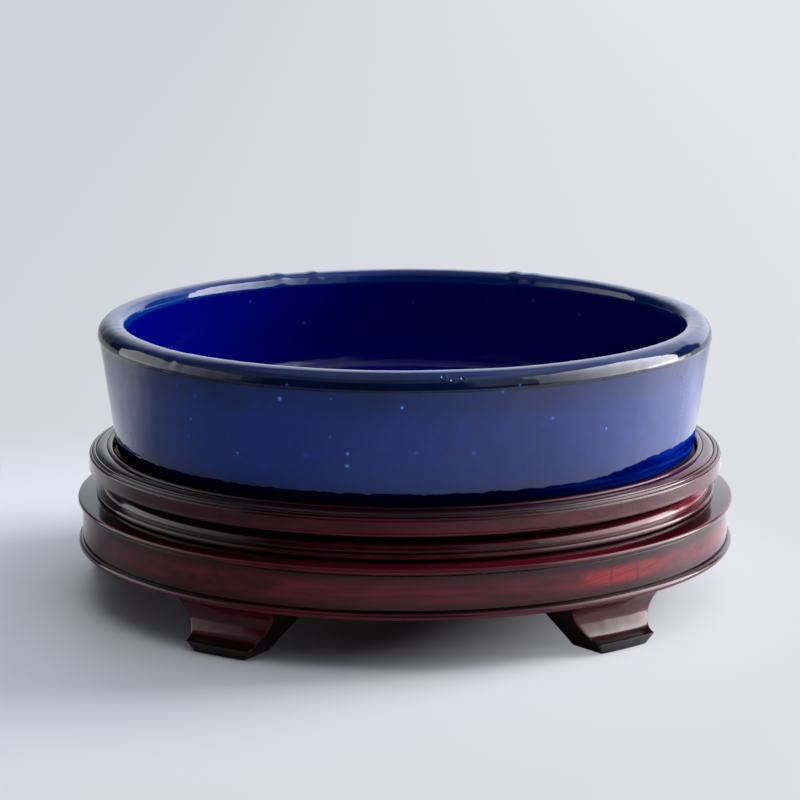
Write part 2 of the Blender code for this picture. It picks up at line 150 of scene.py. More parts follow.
def grid_faces(rows, columns, closed_rows):
    """Quads of a grid: each joins (i, j), (i+1, j), (i+1, j+1) and (i, j+1). Columns always wrap round."""
    index = np.arange(rows * columns).reshape(rows, columns)
    ahead = np.roll(index, -1, axis=0)
    corners = [index, ahead, np.roll(ahead, -1, axis=1), np.roll(index, -1, axis=1)]
    quads = np.stack(corners, axis=-1)
    return (quads if closed_rows else quads[:-1]).reshape(-1, 4)


def add_piece(name, points, closed_rows, extra):
    """A mesh object at the origin from a grid of points (rows, columns, xyz), smooth but for its caps.

    Each entry of extra becomes an attribute of the points, a vector or a plain number.
    """
    rows, columns = points.shape[:2]
    faces = grid_faces(rows, columns, closed_rows).tolist()
    if not closed_rows:
        index = np.arange(rows * columns).reshape(rows, columns)
        faces += [index[0].tolist(), index[-1, ::-1].tolist()]
    mesh = bpy.data.meshes.new(name)
    mesh.from_pydata(points.reshape(-1, 3).tolist(), [], faces)
    mesh.shade_smooth()
    mesh.set_sharp_from_angle(angle=math.radians(SHARP_FROM))
    for label, values in extra.items():
        kind, field = ("FLOAT_VECTOR", "vector") if values.ndim == 3 else ("FLOAT", "value")
        layer = mesh.attributes.new(label, kind, "POINT")
        layer.data.foreach_set(field, values.astype(np.float32).ravel())
    piece = bpy.data.objects.new(name, mesh)
    bpy.context.scene.collection.objects.link(piece)
    return piece


def around(radius, height, angle):
    """Points round the upright axis: an angle of zero faces -Y, and angles grow towards +X."""
    return np.stack(np.broadcast_arrays(radius * np.sin(angle), -radius * np.cos(angle), height), axis=-1)


print("a ring of 3 by 4 points has", len(grid_faces(3, 4, closed_rows=True)), "quads")

# %% [markdown]
# ## Hand-made unevenness
# A thrown pot and scraped lacquer are never quite true, and a glossy surface shows it at once. A sum
# of many small cosine waves gives such a surface. Each wave has a whole number of crests round the
# piece, so that it meets itself again.


# %% Waves for uneven surfaces
def ripples(angle, run, girth, shortest, longest, height, seed, waves=28):
    """Sum of cosine waves over an angle and a length run, with crests shortest to longest metres apart."""
    random = np.random.default_rng(seed)
    spacing = np.exp(random.uniform(math.log(shortest), math.log(longest), waves))
    lean = random.uniform(0, math.tau, waves)
    crests = np.round(girth / spacing * np.cos(lean))
    rate = math.tau / spacing * np.sin(lean)
    phase = random.uniform(0, math.tau, waves)
    total = np.zeros(np.broadcast_shapes(angle.shape, run.shape))
    for around_count, along_rate, start in zip(crests, rate, phase):
        total += np.cos(around_count * angle + along_rate * run + start)
    return height * total / math.sqrt(waves / 2)


trial = ripples(np.linspace(0, math.tau, 300), np.zeros(1), 1.0, 0.01, 0.10, height=1.0, seed=1)
print("waves of height 1 come home to", round(float(abs(trial[0] - trial[-1])), 6), "after one turn")

# %% [markdown]
# ## The pot
# The pot is thrown in one piece: a leaning wall, a rim rolled outwards and squared off inside, a foot
# ring under it and a drain hole. Its section is drawn once, anticlockwise, and turned round the axis. The
# grid is fine enough that the small lumps and waves of the glaze are real shape, not only shading.

# %% Section of the pot
RIM_RADIUS = 0.125
ROLL = 0.0058
ROLL_HEIGHT = 0.1057
ROLL_END = 88
LEAN = 8.2
POT_WALL = 0.0085
POT_BOTTOM = 0.0573
HEEL_HEIGHT = 0.0595
FLOOR_HEIGHT = 0.0678
FILLET = 0.006
HEEL_ROUND = 0.0008
FOOT_RING_INSET = 0.0075
FOOT_RING_WIDTH = 0.010
DRAIN_RADIUS = 0.011
INNER_DROP = 0.0085
INNER_SQUARE = 3.6
CREASE = 0.00028
CREASE_BELOW_ROLL = 0.0003
STRAIGHT_FROM = 0.082
POT_SOFTNESS = 0.00022
POT_POINTS = 240
ROLL_STEPS, INNER_STEPS, FILLET_STEPS, HEEL_STEPS = 28, 24, 16, 10

roll_radius = RIM_RADIUS - ROLL
slope = math.tan(math.radians(LEAN))
secant = 1 / math.cos(math.radians(LEAN))
inner_edge = ROLL_HEIGHT + ROLL - INNER_DROP


def wall_radius(height, depth=0.0):
    """Radius of the leaning wall at a height, on the face this deep behind the outer one."""
    return roll_radius + (ROLL - depth) * secant - (ROLL_HEIGHT - height) * slope


heel_top = HEEL_HEIGHT + HEEL_ROUND
heel_centre = (wall_radius(heel_top, CREASE) - HEEL_ROUND * secant, heel_top)
fillet_top = FLOOR_HEIGHT + FILLET
fillet_centre = (wall_radius(fillet_top, POT_WALL) - FILLET * secant, fillet_top)
crease_height = ROLL_HEIGHT - ROLL * math.sin(math.radians(LEAN)) - CREASE_BELOW_ROLL
ring_outer = heel_centre[0] - FOOT_RING_INSET
ring_inner = ring_outer - FOOT_RING_WIDTH
pot_section = np.vstack([
    arc((roll_radius, ROLL_HEIGHT), ROLL, -LEAN, ROLL_END, ROLL_STEPS),
    squared((roll_radius, inner_edge), ROLL, INNER_DROP, INNER_SQUARE, INNER_STEPS),
    [(wall_radius(STRAIGHT_FROM, POT_WALL), STRAIGHT_FROM)],
    arc(fillet_centre, FILLET, -LEAN, -90, FILLET_STEPS),
    [(DRAIN_RADIUS, FLOOR_HEIGHT), (DRAIN_RADIUS, HEEL_HEIGHT)],
    [(ring_inner, HEEL_HEIGHT), (ring_inner, POT_BOTTOM)],
    [(ring_outer, POT_BOTTOM), (ring_outer, HEEL_HEIGHT)],
    arc(heel_centre, HEEL_ROUND, -90, -LEAN, HEEL_STEPS),
    [(wall_radius(crease_height, CREASE), crease_height)],
])
section = soften(pot_section, POT_SOFTNESS, POT_POINTS)
print("pot section:", len(section), "points, rim", section[:, 0].max(), "top", section[:, 1].max())

# %% [markdown]
# Glaze runs and gathers while it melts. Slow waves stand for the hand of the thrower, quick ones for
# the run of the glaze, and a few lumps and a dent on the rim for the places where it gathered. The waves
# fade out on the bowl's floor, where they would meet at the axis, and under the heel, which is wiped clean.

# %% Waves and lumps of the glaze
POT_TURNS = 410
SLOW_WAVES = {"shortest": 0.045, "longest": 0.200, "height": 0.00010, "seed": 3}
QUICK_WAVES = {"shortest": 0.006, "longest": 0.020, "height": 0.000012, "seed": 5}
ROLL_WAVES = {"shortest": 0.004, "longest": 0.014, "height": 0.000025, "seed": 8}
HEEL_WAVES = {"shortest": 0.0035, "longest": 0.012, "height": 0.00005, "seed": 12}
ROLL_WAVE_STRETCH = 0.2
HEEL_WAVE_HEIGHT, HEEL_WAVE_REACH = 0.0650, 0.0060
HEEL_FADE = 0.002
CALM_INSIDE = 0.060
CALM_FADE = 0.040
RIM_LUMPS = [
    # angle in degrees, height above the roll's middle, size, how far it stands out
    (-151.6, 0.0058, 0.0030, 0.0007),
    (-148.5, 0.0058, 0.0020, 0.0004),
    (-159.7, 0.0058, 0.0018, 0.0006),
    (155.8, 0.0058, 0.0026, 0.0008),
    (151.5, 0.0058, 0.0040, 0.0004),
    (-46.0, 0.0036, 0.0016, -0.0004),
    (-44.0, 0.0030, 0.0020, 0.0004),
]


def lump(angle, above, place, size, height):
    """A smooth round lump: height times a bell of the distance from its place, in (angle, height)."""
    apart = (angle - math.radians(place[0]) + math.pi) % math.tau - math.pi
    return height * np.exp(-((apart * RIM_RADIUS / size) ** 2) - ((above - place[1]) / size) ** 2)


def outward_of(outline):
    """Unit vectors that point squarely out of a closed anticlockwise outline."""
    steps = np.roll(outline, -1, axis=0) - np.roll(outline, 1, axis=0)
    out = np.stack([steps[:, 1], -steps[:, 0]], axis=1)
    return out / np.linalg.norm(out, axis=1, keepdims=True)


angle = np.linspace(0, math.tau, POT_TURNS, endpoint=False)[:, None]
run = lengths_along(section)[None, :]
section_radius, section_height = section[None, :, 0], section[None, :, 1]
girth = math.tau * RIM_RADIUS
lift = ripples(angle, run, girth, **SLOW_WAVES) + ripples(angle, run, girth, **QUICK_WAVES)
on_roll = np.exp(-((section_height - ROLL_HEIGHT) / ROLL) ** 4)
lift = lift + on_roll * ripples(angle, run * ROLL_WAVE_STRETCH, girth, **ROLL_WAVES)
for place, high, size, stand in RIM_LUMPS:
    lift = lift + lump(angle, section_height - ROLL_HEIGHT, (place, high), size, stand)
near_heel = np.exp(-(((section_height - HEEL_WAVE_HEIGHT) / HEEL_WAVE_REACH) ** 2))
lift = lift + near_heel * ripples(angle, run, girth, **HEEL_WAVES)
above_heel = np.clip((section_height - heel_top) / HEEL_FADE, 0, 1)
off_floor = np.clip((section_radius - CALM_INSIDE) / CALM_FADE, 0, 1)
lift = lift * above_heel * off_floor
print("waves and lumps stand up to", round(float(np.abs(lift).max()) * 1000, 2), "mm proud")

# %% [markdown]
# The finish needs to know where the glaze is thick: it thins over the roll, where the clay darkens it, and
# stands thick on the wall. The same table also paints shade: lower depths darken the wall just under the
# roll, the roll next to the crease, and the wall towards the foot, where the roll and the stand shade it.
# That depends only on the distance from the crease under the roll, so it is read from a short table and
# stored on the points. A depth of 2 marks the inside of the bowl.

# %% Throw the pot
DEPTH_AND_SHADE_AT = [
    # distance from the crease under the roll (up over the rim is positive), depth of the glaze with painted
    # shade
    (-0.0424, 0.55),
    (-0.0360, 0.85),
    (-0.0280, 1.00),
    (-0.0150, 0.97),
    (-0.0060, 0.62),
    (-0.0010, 0.55),
    (0.0010, 0.18),
    (0.0035, 0.26),
    (0.0060, 0.46),
    (0.0100, 0.54),
    (0.0150, 0.62),
    (0.0180, 0.72),
    (0.0196, 2.00),
]
outward = outward_of(section)
radius = section_radius + outward[None, :, 0] * lift
height = section_height + outward[None, :, 1] * lift
from_crease = np.where(run < run.max() / 2, run, run - run.max())
# The depths also paint shade under the roll, next to the crease and towards the foot.
glaze_depth_and_shade = np.broadcast_to(np.interp(from_crease, *zip(*DEPTH_AND_SHADE_AT)), radius.shape)
pot_points = around(radius, height, angle)
pot = add_piece("glazed_pot", pot_points, closed_rows=True, extra={"depth": glaze_depth_and_shade})
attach(pot, "pot")
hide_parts("pot_body")
print("pot:", len(pot.data.polygons), "quads")

# %% [markdown]
# ## The rings of the stand
# The stand has three rings, each glued up from sawn arcs. Each section follows that of the solid, with
# its beads drawn as true rounds and a few finer grooves. It starts at its lower inner corner and runs
# out, up and back in. The radii follow from the lip that holds the pot.

# %% Sections of the rings
LIP_GAP = 0.0012
FRAME_LOW, FRAME_TOP = 0.0508, 0.0605
WAIST_LOW, WAIST_TOP = 0.0412, 0.0505
BASE_LOW, BASE_TOP = 0.0201, 0.0409
LIP = wall_radius(FRAME_TOP) + LIP_GAP
BORE = LIP - 0.0138
NECK = LIP - 0.0017
LAND = LIP + 0.0021
GROOVE = LAND + 0.0049
FASCIA = GROOVE + 0.0027
BAND = FASCIA + 0.0032
SHELF, SHELF_TOP = LIP - 0.0098, FRAME_LOW + 0.0024
WAIST_FOOT = NECK + 0.0085
EDGE_BEAD = 0.0013

frame_section = np.vstack([
    [(SHELF, FRAME_LOW)],
    bead((FASCIA - 0.0008, FRAME_LOW), (FASCIA, FRAME_LOW + 0.0013), 0.0004),
    bead((FASCIA, FRAME_TOP - 0.0036), (FASCIA - 0.0012, FRAME_TOP - 0.0027), 0.00035),
    [(FASCIA - 0.0014, FRAME_TOP - 0.0031)],
    bead((FASCIA - 0.0015, FRAME_TOP - 0.0026), (GROOVE, FRAME_TOP - 0.0020), 0.0004),
    [(GROOVE - 0.0002, FRAME_TOP - 0.0026)],
    bead((GROOVE - 0.0004, FRAME_TOP - 0.0019), (LAND + 0.0004, FRAME_TOP - 0.0007), 0.0006),
    [(LAND + 0.0002, FRAME_TOP - 0.0012)],
    bead((LAND, FRAME_TOP - 0.0004), (LIP, FRAME_TOP - 0.0003), 0.0003),
    [(LIP, SHELF_TOP), (SHELF, SHELF_TOP)],
])
waist_section = np.vstack([
    [(BORE, WAIST_LOW)],
    bead((WAIST_FOOT, WAIST_LOW), (WAIST_FOOT, WAIST_LOW + 0.0021), 0.0004),
    bead((NECK + 0.0064, WAIST_LOW + 0.0021), (NECK, WAIST_TOP - 0.0034), 0.0026, steps=24),
    [(NECK, WAIST_TOP), (BORE, WAIST_TOP)],
])
base_section = np.vstack([
    [(BORE, BASE_LOW)],
    bead((BAND + EDGE_BEAD, BASE_LOW), (BAND - 0.0005, BASE_LOW + 0.0025), EDGE_BEAD, steps=18),
    [(BAND, BASE_LOW + 0.0035), (BAND, BASE_TOP - 0.0040)],
    bead((BAND - 0.0005, BASE_TOP - 0.0035), (BAND + EDGE_BEAD, BASE_TOP - EDGE_BEAD), EDGE_BEAD, steps=18),
    [(WAIST_FOOT, BASE_TOP), (BORE, BASE_TOP)],
])
frame_line = soften(frame_section, softness=0.00014, count=190)
waist_line = soften(waist_section, softness=0.00018, count=130)
base_line = soften(base_section, softness=0.00016, count=160)
print("lip", round(LIP, 5), "fascia", round(FASCIA, 5), "band", round(BAND, 5))

# %% [markdown]
# Two measures tell the lacquer about its section. How proud a point stands of its own section marks the
# beads that the cloth rubs through. The share of the directions out of it that is clear of the rings and
# the pot paints shade into the grooves and recesses. A renderer could work this out with rays in three
# dimensions. In a turned stand the section alone tells nearly all of it, so the rays here lie in the
# section.

# %% How proud and how open a section is
PROUD_WIDTH = 0.0025
SIGHT = 0.014
RAYS = 25
WIDEST_RAY = 84
OFF_SURFACE = 0.00004
PARALLEL = 1e-12


def proud_of(outline):
    """How far each point stands out of the same outline smoothed wide, in parts of that width."""
    wide = soften(outline, PROUD_WIDTH, len(outline))
    nearest = np.linalg.norm(outline[:, None] - wide[None], axis=2).argmin(axis=1)
    return ((outline - wide[nearest]) * outward_of(outline)).sum(axis=1) / PROUD_WIDTH


def cross(first, second):
    """Flat cross product of arrays of (radius, height) vectors."""
    return first[..., 0] * second[..., 1] - first[..., 1] * second[..., 0]


def open_share(outline, solids):
    """Share of the directions out of each point of an outline that are clear of the solids for a short way.

    Each direction is a ray p + t d, each side of a solid a segment a + u e. They meet where
    t = cross(a - p, e) / cross(d, e) lies in sight and u = cross(a - p, d) / cross(d, e) lies in 0..1.
    """
    out = outward_of(outline)
    side = np.stack([-out[:, 1], out[:, 0]], axis=1)
    fan = np.radians(np.linspace(-WIDEST_RAY, WIDEST_RAY, RAYS))
    way = out[:, None] * np.cos(fan)[None, :, None] + side[:, None] * np.sin(fan)[None, :, None]
    edge = np.vstack([np.roll(solid, -1, axis=0) - solid for solid in solids])
    gap = np.vstack(solids)[None, :] - (outline + OFF_SURFACE * out)[:, None]
    turn = cross(way[:, :, None], edge[None, None])
    turn = np.where(np.abs(turn) < PARALLEL, PARALLEL, turn)
    far = cross(gap, edge[None])[:, None, :] / turn
    at = cross(gap[:, None], way[:, :, None]) / turn
    met = ((far > 0) & (far < SIGHT) & (at >= 0) & (at <= 1)).any(axis=2)
    weight = np.cos(fan) / np.cos(fan).sum()
    return (~met * weight).sum(axis=1)


everything = [frame_line, waist_line, base_line, section]
print("the waist is open to", open_share(waist_line, everything).mean().round(2), "of its surroundings")

# %% [markdown]
# Each arc is the section carried round one bay, a hair short of its neighbours, so that the glue joint
# shows as a fine line. A ring could also be one mesh with lines drawn on it, but then the arcs would
# not come apart. The grain of each arc runs straight along the board that it was sawn from.

# %% Turn the arcs
FEET = 5
FIRST_FOOT = math.radians(39.6)
BAY = math.tau / FEET
JOINT_HAIR = 0.00003
ARC_TURNS = 85
BOARD_SHIFT = np.array([0.37, 0.11, 0.23])
SCRAPED_WAVES = {"shortest": 0.012, "longest": 0.060, "height": 0.000018}


def grain_of(points, turn, number):
    """Distances along, across and up the board that a piece was sawn from, shifted for each piece."""
    along = points[..., 0] * math.cos(turn) + points[..., 1] * math.sin(turn)
    across = points[..., 0] * math.sin(turn) - points[..., 1] * math.cos(turn)
    return np.stack([along, across, points[..., 2]], axis=-1) + BOARD_SHIFT * number


def join_stand(piece, node):
    """The piece stands for this solid and goes with the stand."""
    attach(piece, "stand")
    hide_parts(node)


def turn_ring(label, node, outline, first_joint, seed):
    """The arcs of one ring, each a soft section carried round one bay, a hair short of its neighbours."""
    proud, clear = proud_of(outline), open_share(outline, everything)
    widest = outline[:, 0].max()
    half = BAY / 2 - JOINT_HAIR / widest
    made = []
    for bay in range(FEET):
        middle = first_joint + BAY * (bay + 0.5)
        turns = np.linspace(middle - half, middle + half, ARC_TURNS)[:, None]
        level = outline[None, :, 1]
        uneven = ripples(turns, level, math.tau * widest, seed=seed + bay, **SCRAPED_WAVES)
        ring = around(outline[None, :, 0] + uneven, level, turns)
        extra = {
            "grain": grain_of(ring, middle, seed + bay),
            "proud": np.broadcast_to(proud, ring.shape[:2]),
            "clear": np.broadcast_to(clear, ring.shape[:2]),
        }
        piece = add_piece(f"{label}_{bay + 1}", ring, closed_rows=False, extra=extra)
        join_stand(piece, f"{node}_{bay + 1}")
        made.append(piece)
    print(label, "arcs:", len(made), "of", len(made[0].data.polygons), "faces")
    return made


lacquered = turn_ring("upper_frame_arc", "upper_frame", frame_line, FIRST_FOOT, seed=10)
lacquered += turn_ring("waist_arc", "waist", waist_line, FIRST_FOOT + BAY / 2, seed=20)
lacquered += turn_ring("base_arc", "base", base_line, FIRST_FOOT, seed=30)

# %% [markdown]
# ## The bracket feet
# Each foot is sawn from a thick block: the front is hollowed to a cove that ends in a small toe, and
# the sides draw in towards the sole. A foot is a stack of level sections. The front line gives each
# section its depth, and its corners are rounded by the same bell as the mouldings.

# %% Front line of a foot
FOOT_TOP = 0.0200
FOOT_HEIGHT = 0.0198
TOE_HEIGHT = 0.0042
TOE_REACH = 0.0030
TOE_UNDERCUT = 0.0020
COVE = 0.0059
FOOT_INSET = 0.0014
FOOT_DEPTH = 0.0155
foot_front = BAND - FOOT_INSET
foot_rear = foot_front - FOOT_DEPTH
toe = foot_front + TOE_REACH
front_line = np.vstack([
    [(toe - TOE_UNDERCUT, 0.0)],
    bead((foot_front, FOOT_HEIGHT), (toe, TOE_HEIGHT), COVE, steps=40)[::-1],
    [(foot_front, FOOT_TOP)],
])
front = soften(front_line, softness=0.00018, count=70, closed=False)
front[:, 1] = np.clip(front[:, 1], 0.0, FOOT_TOP)
print("cove is", round((toe - front[:, 0].min()) * 1000, 1), "mm deep behind the toe")

# %% [markdown]
# Four runs of points make the loop of each section: the front, a side, the back and the other side. A
# foot could also be cut from a block with Boolean tools, but loops keep their points in rows, so a whole
# foot is one grid, as an arc is.

# %% Shape the feet
SOLE_HALF, TOE_HALF, FACE_HALF, BACK_HALF = 0.0118, 0.0145, 0.0240, 0.02975
FRONT_POINTS, SIDE_POINTS = 56, 22
CORNER_POINTS = 0.8
FOOT_WAVES = {"shortest": 0.006, "longest": 0.03, "height": 0.00004}
# How open each face of a foot is, which the lacquer turns into painted shade: the sides and back, the toe
# and the top under the base ring are darkened.
FRONT_OPEN, SIDE_OPEN, BACK_OPEN = 1.0, 0.12, 0.10
OPEN_HEIGHTS, OPEN_SHARES = (0.0046, 0.0082, 0.0125, 0.0190), (0.12, 1.0, 1.0, 0.42)
FOOT_SEED = 50


def smooth_loop(points, width):
    """Mean of each point with its neighbours in the same row, under a bell of this many points."""
    bell = bell_curve(width)
    reach = len(bell) // 2
    return sum(share * np.roll(points, step, axis=1) for step, share in zip(range(-reach, reach + 1), bell))


def foot_grid(seed):
    """Sections of a foot as radius, distance across, height and openness, which paints shade in the lacquer.

    The front's half width grows straight from the sole to the toe and from the toe to the top, and the
    back's from the sole to the top. The sides run straight between front and back.
    """
    level, depth = front[:, 1], front[:, :1]
    above_toe = np.clip((level - TOE_HEIGHT) / (FOOT_HEIGHT - TOE_HEIGHT), 0, 1)
    on_toe = SOLE_HALF + (TOE_HALF - SOLE_HALF) * level / TOE_HEIGHT
    face_half = np.where(level < TOE_HEIGHT, on_toe, TOE_HALF + (FACE_HALF - TOE_HALF) * above_toe)[:, None]
    back_half = (SOLE_HALF + (BACK_HALF - SOLE_HALF) * level / FOOT_HEIGHT)[:, None]
    share = np.linspace(-1, 1, FRONT_POINTS, endpoint=False)[None, :]
    side = np.linspace(0, 1, SIDE_POINTS, endpoint=False)[None, :]
    flat = np.ones_like(share)
    rear = np.full_like(depth, foot_rear)
    reach = np.hstack([
        depth * flat,
        depth + (rear - depth) * side,
        rear * flat,
        rear + (depth - rear) * side,
    ])
    across = np.hstack([
        face_half * share,
        face_half + (back_half - face_half) * side,
        -back_half * share,
        -back_half + (back_half - face_half) * side,
    ])
    loop = smooth_loop(np.stack([reach, across], axis=-1), CORNER_POINTS)
    reach, across, level = loop[..., 0], loop[..., 1], level[:, None]
    uneven = ripples(across / RIM_RADIUS, level, girth, seed=seed, **FOOT_WAVES)
    shares = [FRONT_OPEN, SIDE_OPEN, BACK_OPEN, SIDE_OPEN]
    faces = np.repeat(shares, [FRONT_POINTS, SIDE_POINTS, FRONT_POINTS, SIDE_POINTS])[None, :]
    clear = smooth_loop(faces, CORNER_POINTS) * np.interp(level, OPEN_HEIGHTS, OPEN_SHARES)
    return reach + uneven, across, level, clear


for number in range(FEET):
    turn = FIRST_FOOT + BAY * number
    radius, across, height, clear = foot_grid(FOOT_SEED + number)
    points = around(radius, height, turn + across / radius)[:, ::-1]
    extra = {
        "grain": grain_of(points, turn, FOOT_SEED + number),
        "proud": np.zeros(points.shape[:2]),
        "clear": clear[:, ::-1],
    }
    foot = add_piece(f"bracket_foot_{number + 1}", points, closed_rows=False, extra=extra)
    join_stand(foot, f"foot_{number + 1}")
    lacquered.append(foot)
print("feet:", FEET, "of", len(foot.data.polygons), "faces")

# %% [markdown]
# ## Finishes written as sums
# A finish is a tree of nodes. It could be wired by hand in the shader editor, but written as a sum it
# stays readable. One small class stands for a node's output and turns + - * / into Math nodes.


# %% A wire
class Wire:
    """An output of a node. Each operator adds one Math node."""

    def __init__(self, board, socket):
        self.board = board
        self.socket = socket

    def join(self, operation, first, second):
        return self.board.node("ShaderNodeMath", {"operation": operation}, {0: first, 1: second})

    def __add__(self, other):
        return self.join("ADD", self, other)

    def __sub__(self, other):
        return self.join("SUBTRACT", self, other)

    def __rsub__(self, other):
        return self.join("SUBTRACT", other, self)

    def __mul__(self, other):
        return self.join("MULTIPLY", self, other)

    def __truediv__(self, other):
        return self.join("DIVIDE", self, other)

    def __rtruediv__(self, other):
        return self.join("DIVIDE", other, self)

    def __gt__(self, other):
        return self.join("GREATER_THAN", self, other)

    def __lt__(self, other):
        return self.join("LESS_THAN", self, other)

    def size(self):
        return self.join("ABSOLUTE", self, 0.0)

    def over(self, other):
        """The larger of the two."""
        return self.join("MAXIMUM", self, other)

    def angle_from(self, other):
        """Angle in radians of the point that lies this far aside and the other far ahead."""
        return self.join("ARCTAN2", self, other)

    __radd__ = __add__
    __rmul__ = __mul__


print("reflected forms:", [name for name in vars(Wire) if name.startswith("__r")])

# %% [markdown]
# A board holds the nodes of one finish. One method makes any node from its kind, its settings and the
# values or wires of its sockets. The short methods after it are the few patterns that the finishes share.
# A noise is given by its scale, its detail and its roughness, and its values lie about a middle of 0.5.

# %% A board of nodes
NOISE_MIDDLE = 0.5


class Board:
    """The nodes of one finish."""

    def __init__(self, owner):
        owner.use_nodes = True
        self.tree = owner.node_tree
        self.tree.nodes.clear()

    def node(self, kind, settings=None, inputs=None, output=0):
        """Any node: its settings are set first, then each input gets its link or its value."""
        made = self.tree.nodes.new(kind)
        for name, value in (settings or {}).items():
            setattr(made, name, value)
        for key, value in (inputs or {}).items():
            if isinstance(value, Wire):
                self.tree.links.new(value.socket, made.inputs[key])
            else:
                made.inputs[key].default_value = value
        return Wire(self, made.outputs[output]) if len(made.outputs) else made

    def place(self):
        return self.node("ShaderNodeTexCoord", output="Object")

    def attribute(self, name, output="Fac"):
        return self.node("ShaderNodeAttribute", {"attribute_name": name}, output=output)

    def part(self, vector, axis):
        return self.node("ShaderNodeSeparateXYZ", inputs={0: vector}, output=axis)

    def ray_is(self, kind):
        return self.node("ShaderNodeLightPath", output=f"Is {kind} Ray")

    def noise(self, vector, scale, detail, roughness):
        inputs = {"Vector": vector, "Scale": scale, "Detail": detail, "Roughness": roughness}
        return self.node("ShaderNodeTexNoise", inputs=inputs)

    def vectors(self, operation, first, second, output=0):
        return self.node("ShaderNodeVectorMath", {"operation": operation}, {0: first, 1: second}, output)

    def stretch(self, vector, factors):
        return self.vectors("MULTIPLY", vector, factors)

    def apart(self, vector, middle):
        """Distance of each point from a middle."""
        return self.vectors("DISTANCE", vector, middle, "Value")

    def between(self, value, low, high, first=0.0, last=1.0):
        """A smooth step: first below low, last above high."""
        settings = {"interpolation_type": "SMOOTHSTEP"}
        return self.node("ShaderNodeMapRange", settings, {0: value, 1: low, 2: high, 3: first, 4: last})

    def blend(self, share, first, last):
        """The first colour, going over to the last one as share goes from 0 to 1."""
        return self.node("ShaderNodeMix", {"data_type": "RGBA"}, {0: share, 6: first, 7: last}, output=2)

    def bump(self, height, distance, strength=1.0):
        inputs = {"Height": height, "Distance": distance, "Strength": strength}
        return self.node("ShaderNodeBump", inputs=inputs)

    def surface(self, sockets):
        return self.node("ShaderNodeBsdfPrincipled", inputs=sockets)

    def show(self, shader, kind="Material"):
        self.node(f"ShaderNodeOutput{kind}", inputs={"Surface": shader})


print("patterns to build with:", [name for name in vars(Board) if not name.startswith("_")])

# %% [markdown]
# ## Cobalt glaze
# The glaze is a thick coloured glass over dark clay. It pools a little and thins over the rim, and small
# bubbles that burst in the kiln healed as pale blue specks. A cell pattern could scatter them all, but it
# would not put the large ones where the pot has them, so these have places of their own on its faces.

# %% Places of specks and chips
SPECKS = [
    # angle in degrees, height, radius, strength
    (-22.1, 0.1003, 0.0019, 0.9),
    (-0.5, 0.0988, 0.0014, 1.0),
    (-10.1, 0.0804, 0.0013, 1.0),
    (-10.3, 0.0756, 0.0015, 1.0),
    (-20.5, 0.1061, 0.0010, 0.6),
    (-12.7, 0.1016, 0.0010, 0.6),
    (-39.9, 0.0973, 0.0014, 0.5),
    (-41.9, 0.0876, 0.0011, 0.8),
    (-43.0, 0.0801, 0.0014, 0.4),
    (-31.6, 0.0770, 0.0013, 0.9),
    (-13.2, 0.0868, 0.0012, 0.6),
    (-17.9, 0.0790, 0.0018, 0.3),
    (1.9, 0.0812, 0.0013, 0.5),
    (12.2, 0.0806, 0.0020, 0.5),
    (19.9, 0.1061, 0.0010, 0.7),
    (16.9, 0.1039, 0.0015, 0.6),
    (26.7, 0.0920, 0.0018, 0.6),
    (38.9, 0.0846, 0.0013, 1.0),
]
INSIDE_SPECKS = [
    (-156.6, 0.0898, 0.0014, 0.34),
    (178.2, 0.0975, 0.0014, 0.22),
    (150.0, 0.1005, 0.0015, 0.45),
    (137.8, 0.0969, 0.0015, 0.40),
    (-143.2, 0.1014, 0.0016, 0.22),
]
CHIPS = [
    # angle in degrees, height, radius
    (6.6, 0.1099, 0.0012),
    (8.1, 0.1089, 0.0010),
    (9.9, 0.1093, 0.0010),
]


def inner_radius(height):
    """Radius of the inner face, which runs straight from the wall up to the rim's inner edge."""
    ends = (wall_radius(STRAIGHT_FROM, POT_WALL), roll_radius - ROLL)
    return np.interp(height, (STRAIGHT_FROM, inner_edge), ends)


def rim_radius(height):
    """Radius of the outer half of the roll, a circle in the section."""
    return roll_radius + np.sqrt(ROLL**2 - (height - ROLL_HEIGHT) ** 2)


def marks_on(face, rows):
    """Middle of each mark on a face, which gives the radius at a height, with the rest of its row."""
    rows = np.array(rows)
    middles = around(face(rows[:, 1]), rows[:, 1], np.radians(rows[:, 0]))
    return [(tuple(middle), *row[2:]) for middle, row in zip(middles, rows)]


specks = marks_on(wall_radius, SPECKS) + marks_on(inner_radius, INSIDE_SPECKS)
chips = marks_on(rim_radius, CHIPS)
print("glaze:", len(specks), "large specks and", len(chips), "chips")

# %% [markdown]
# The colour goes on in coats: the pooled and running cobalt, the dark clay where it is thin, which also
# carries painted shade under the roll and towards the foot, painted shade as a darker blue inside the bowl
# and as a dark line in the crease, and the specks on top. Each coat is one blend, so that each can be
# changed alone.

# %% Colour of the glaze
POOLED, RUNNING = (0.0003, 0.0250, 0.172, 1), (0.0004, 0.0330, 0.245, 1)
MOTTLED = (0.0010, 0.0470, 0.300, 1)
CLAY_AND_SHADE = (0.0008, 0.0030, 0.0080, 1)
BOWL_SHADE_BLUE = (0.0001, 0.0009, 0.150, 1)
CREASE_SHADE = (0.0005, 0.0010, 0.0030, 1)
HEALED_RIM, HEALED_MIDDLE = (0.0250, 0.1100, 0.560, 1), (0.16, 0.36, 0.88, 1)
FINE_SPECK_CELLS = 150.0
FINE_SPECKS_FROM = 0.94
FINE_SPECK_SIZES, FINE_SPECK_STRENGTH = (0.03, 0.12), 0.45
SPECK_CORE, SPECK_EDGE = 0.10, 0.85
HEALED_SHARES = (0.30, 0.85)
FULL_DEPTH, THIN_AND_SHADED_DEPTH = 0.95, 0.60
CLOUD_IN_DEPTH = 0.35
MOTTLE_RANGE, MOTTLE_SHARE = (0.45, 0.75), 0.40
CREASE_HALF, CREASE_DEPTHS = (0.00015, 0.00040), (0.80, 0.95)


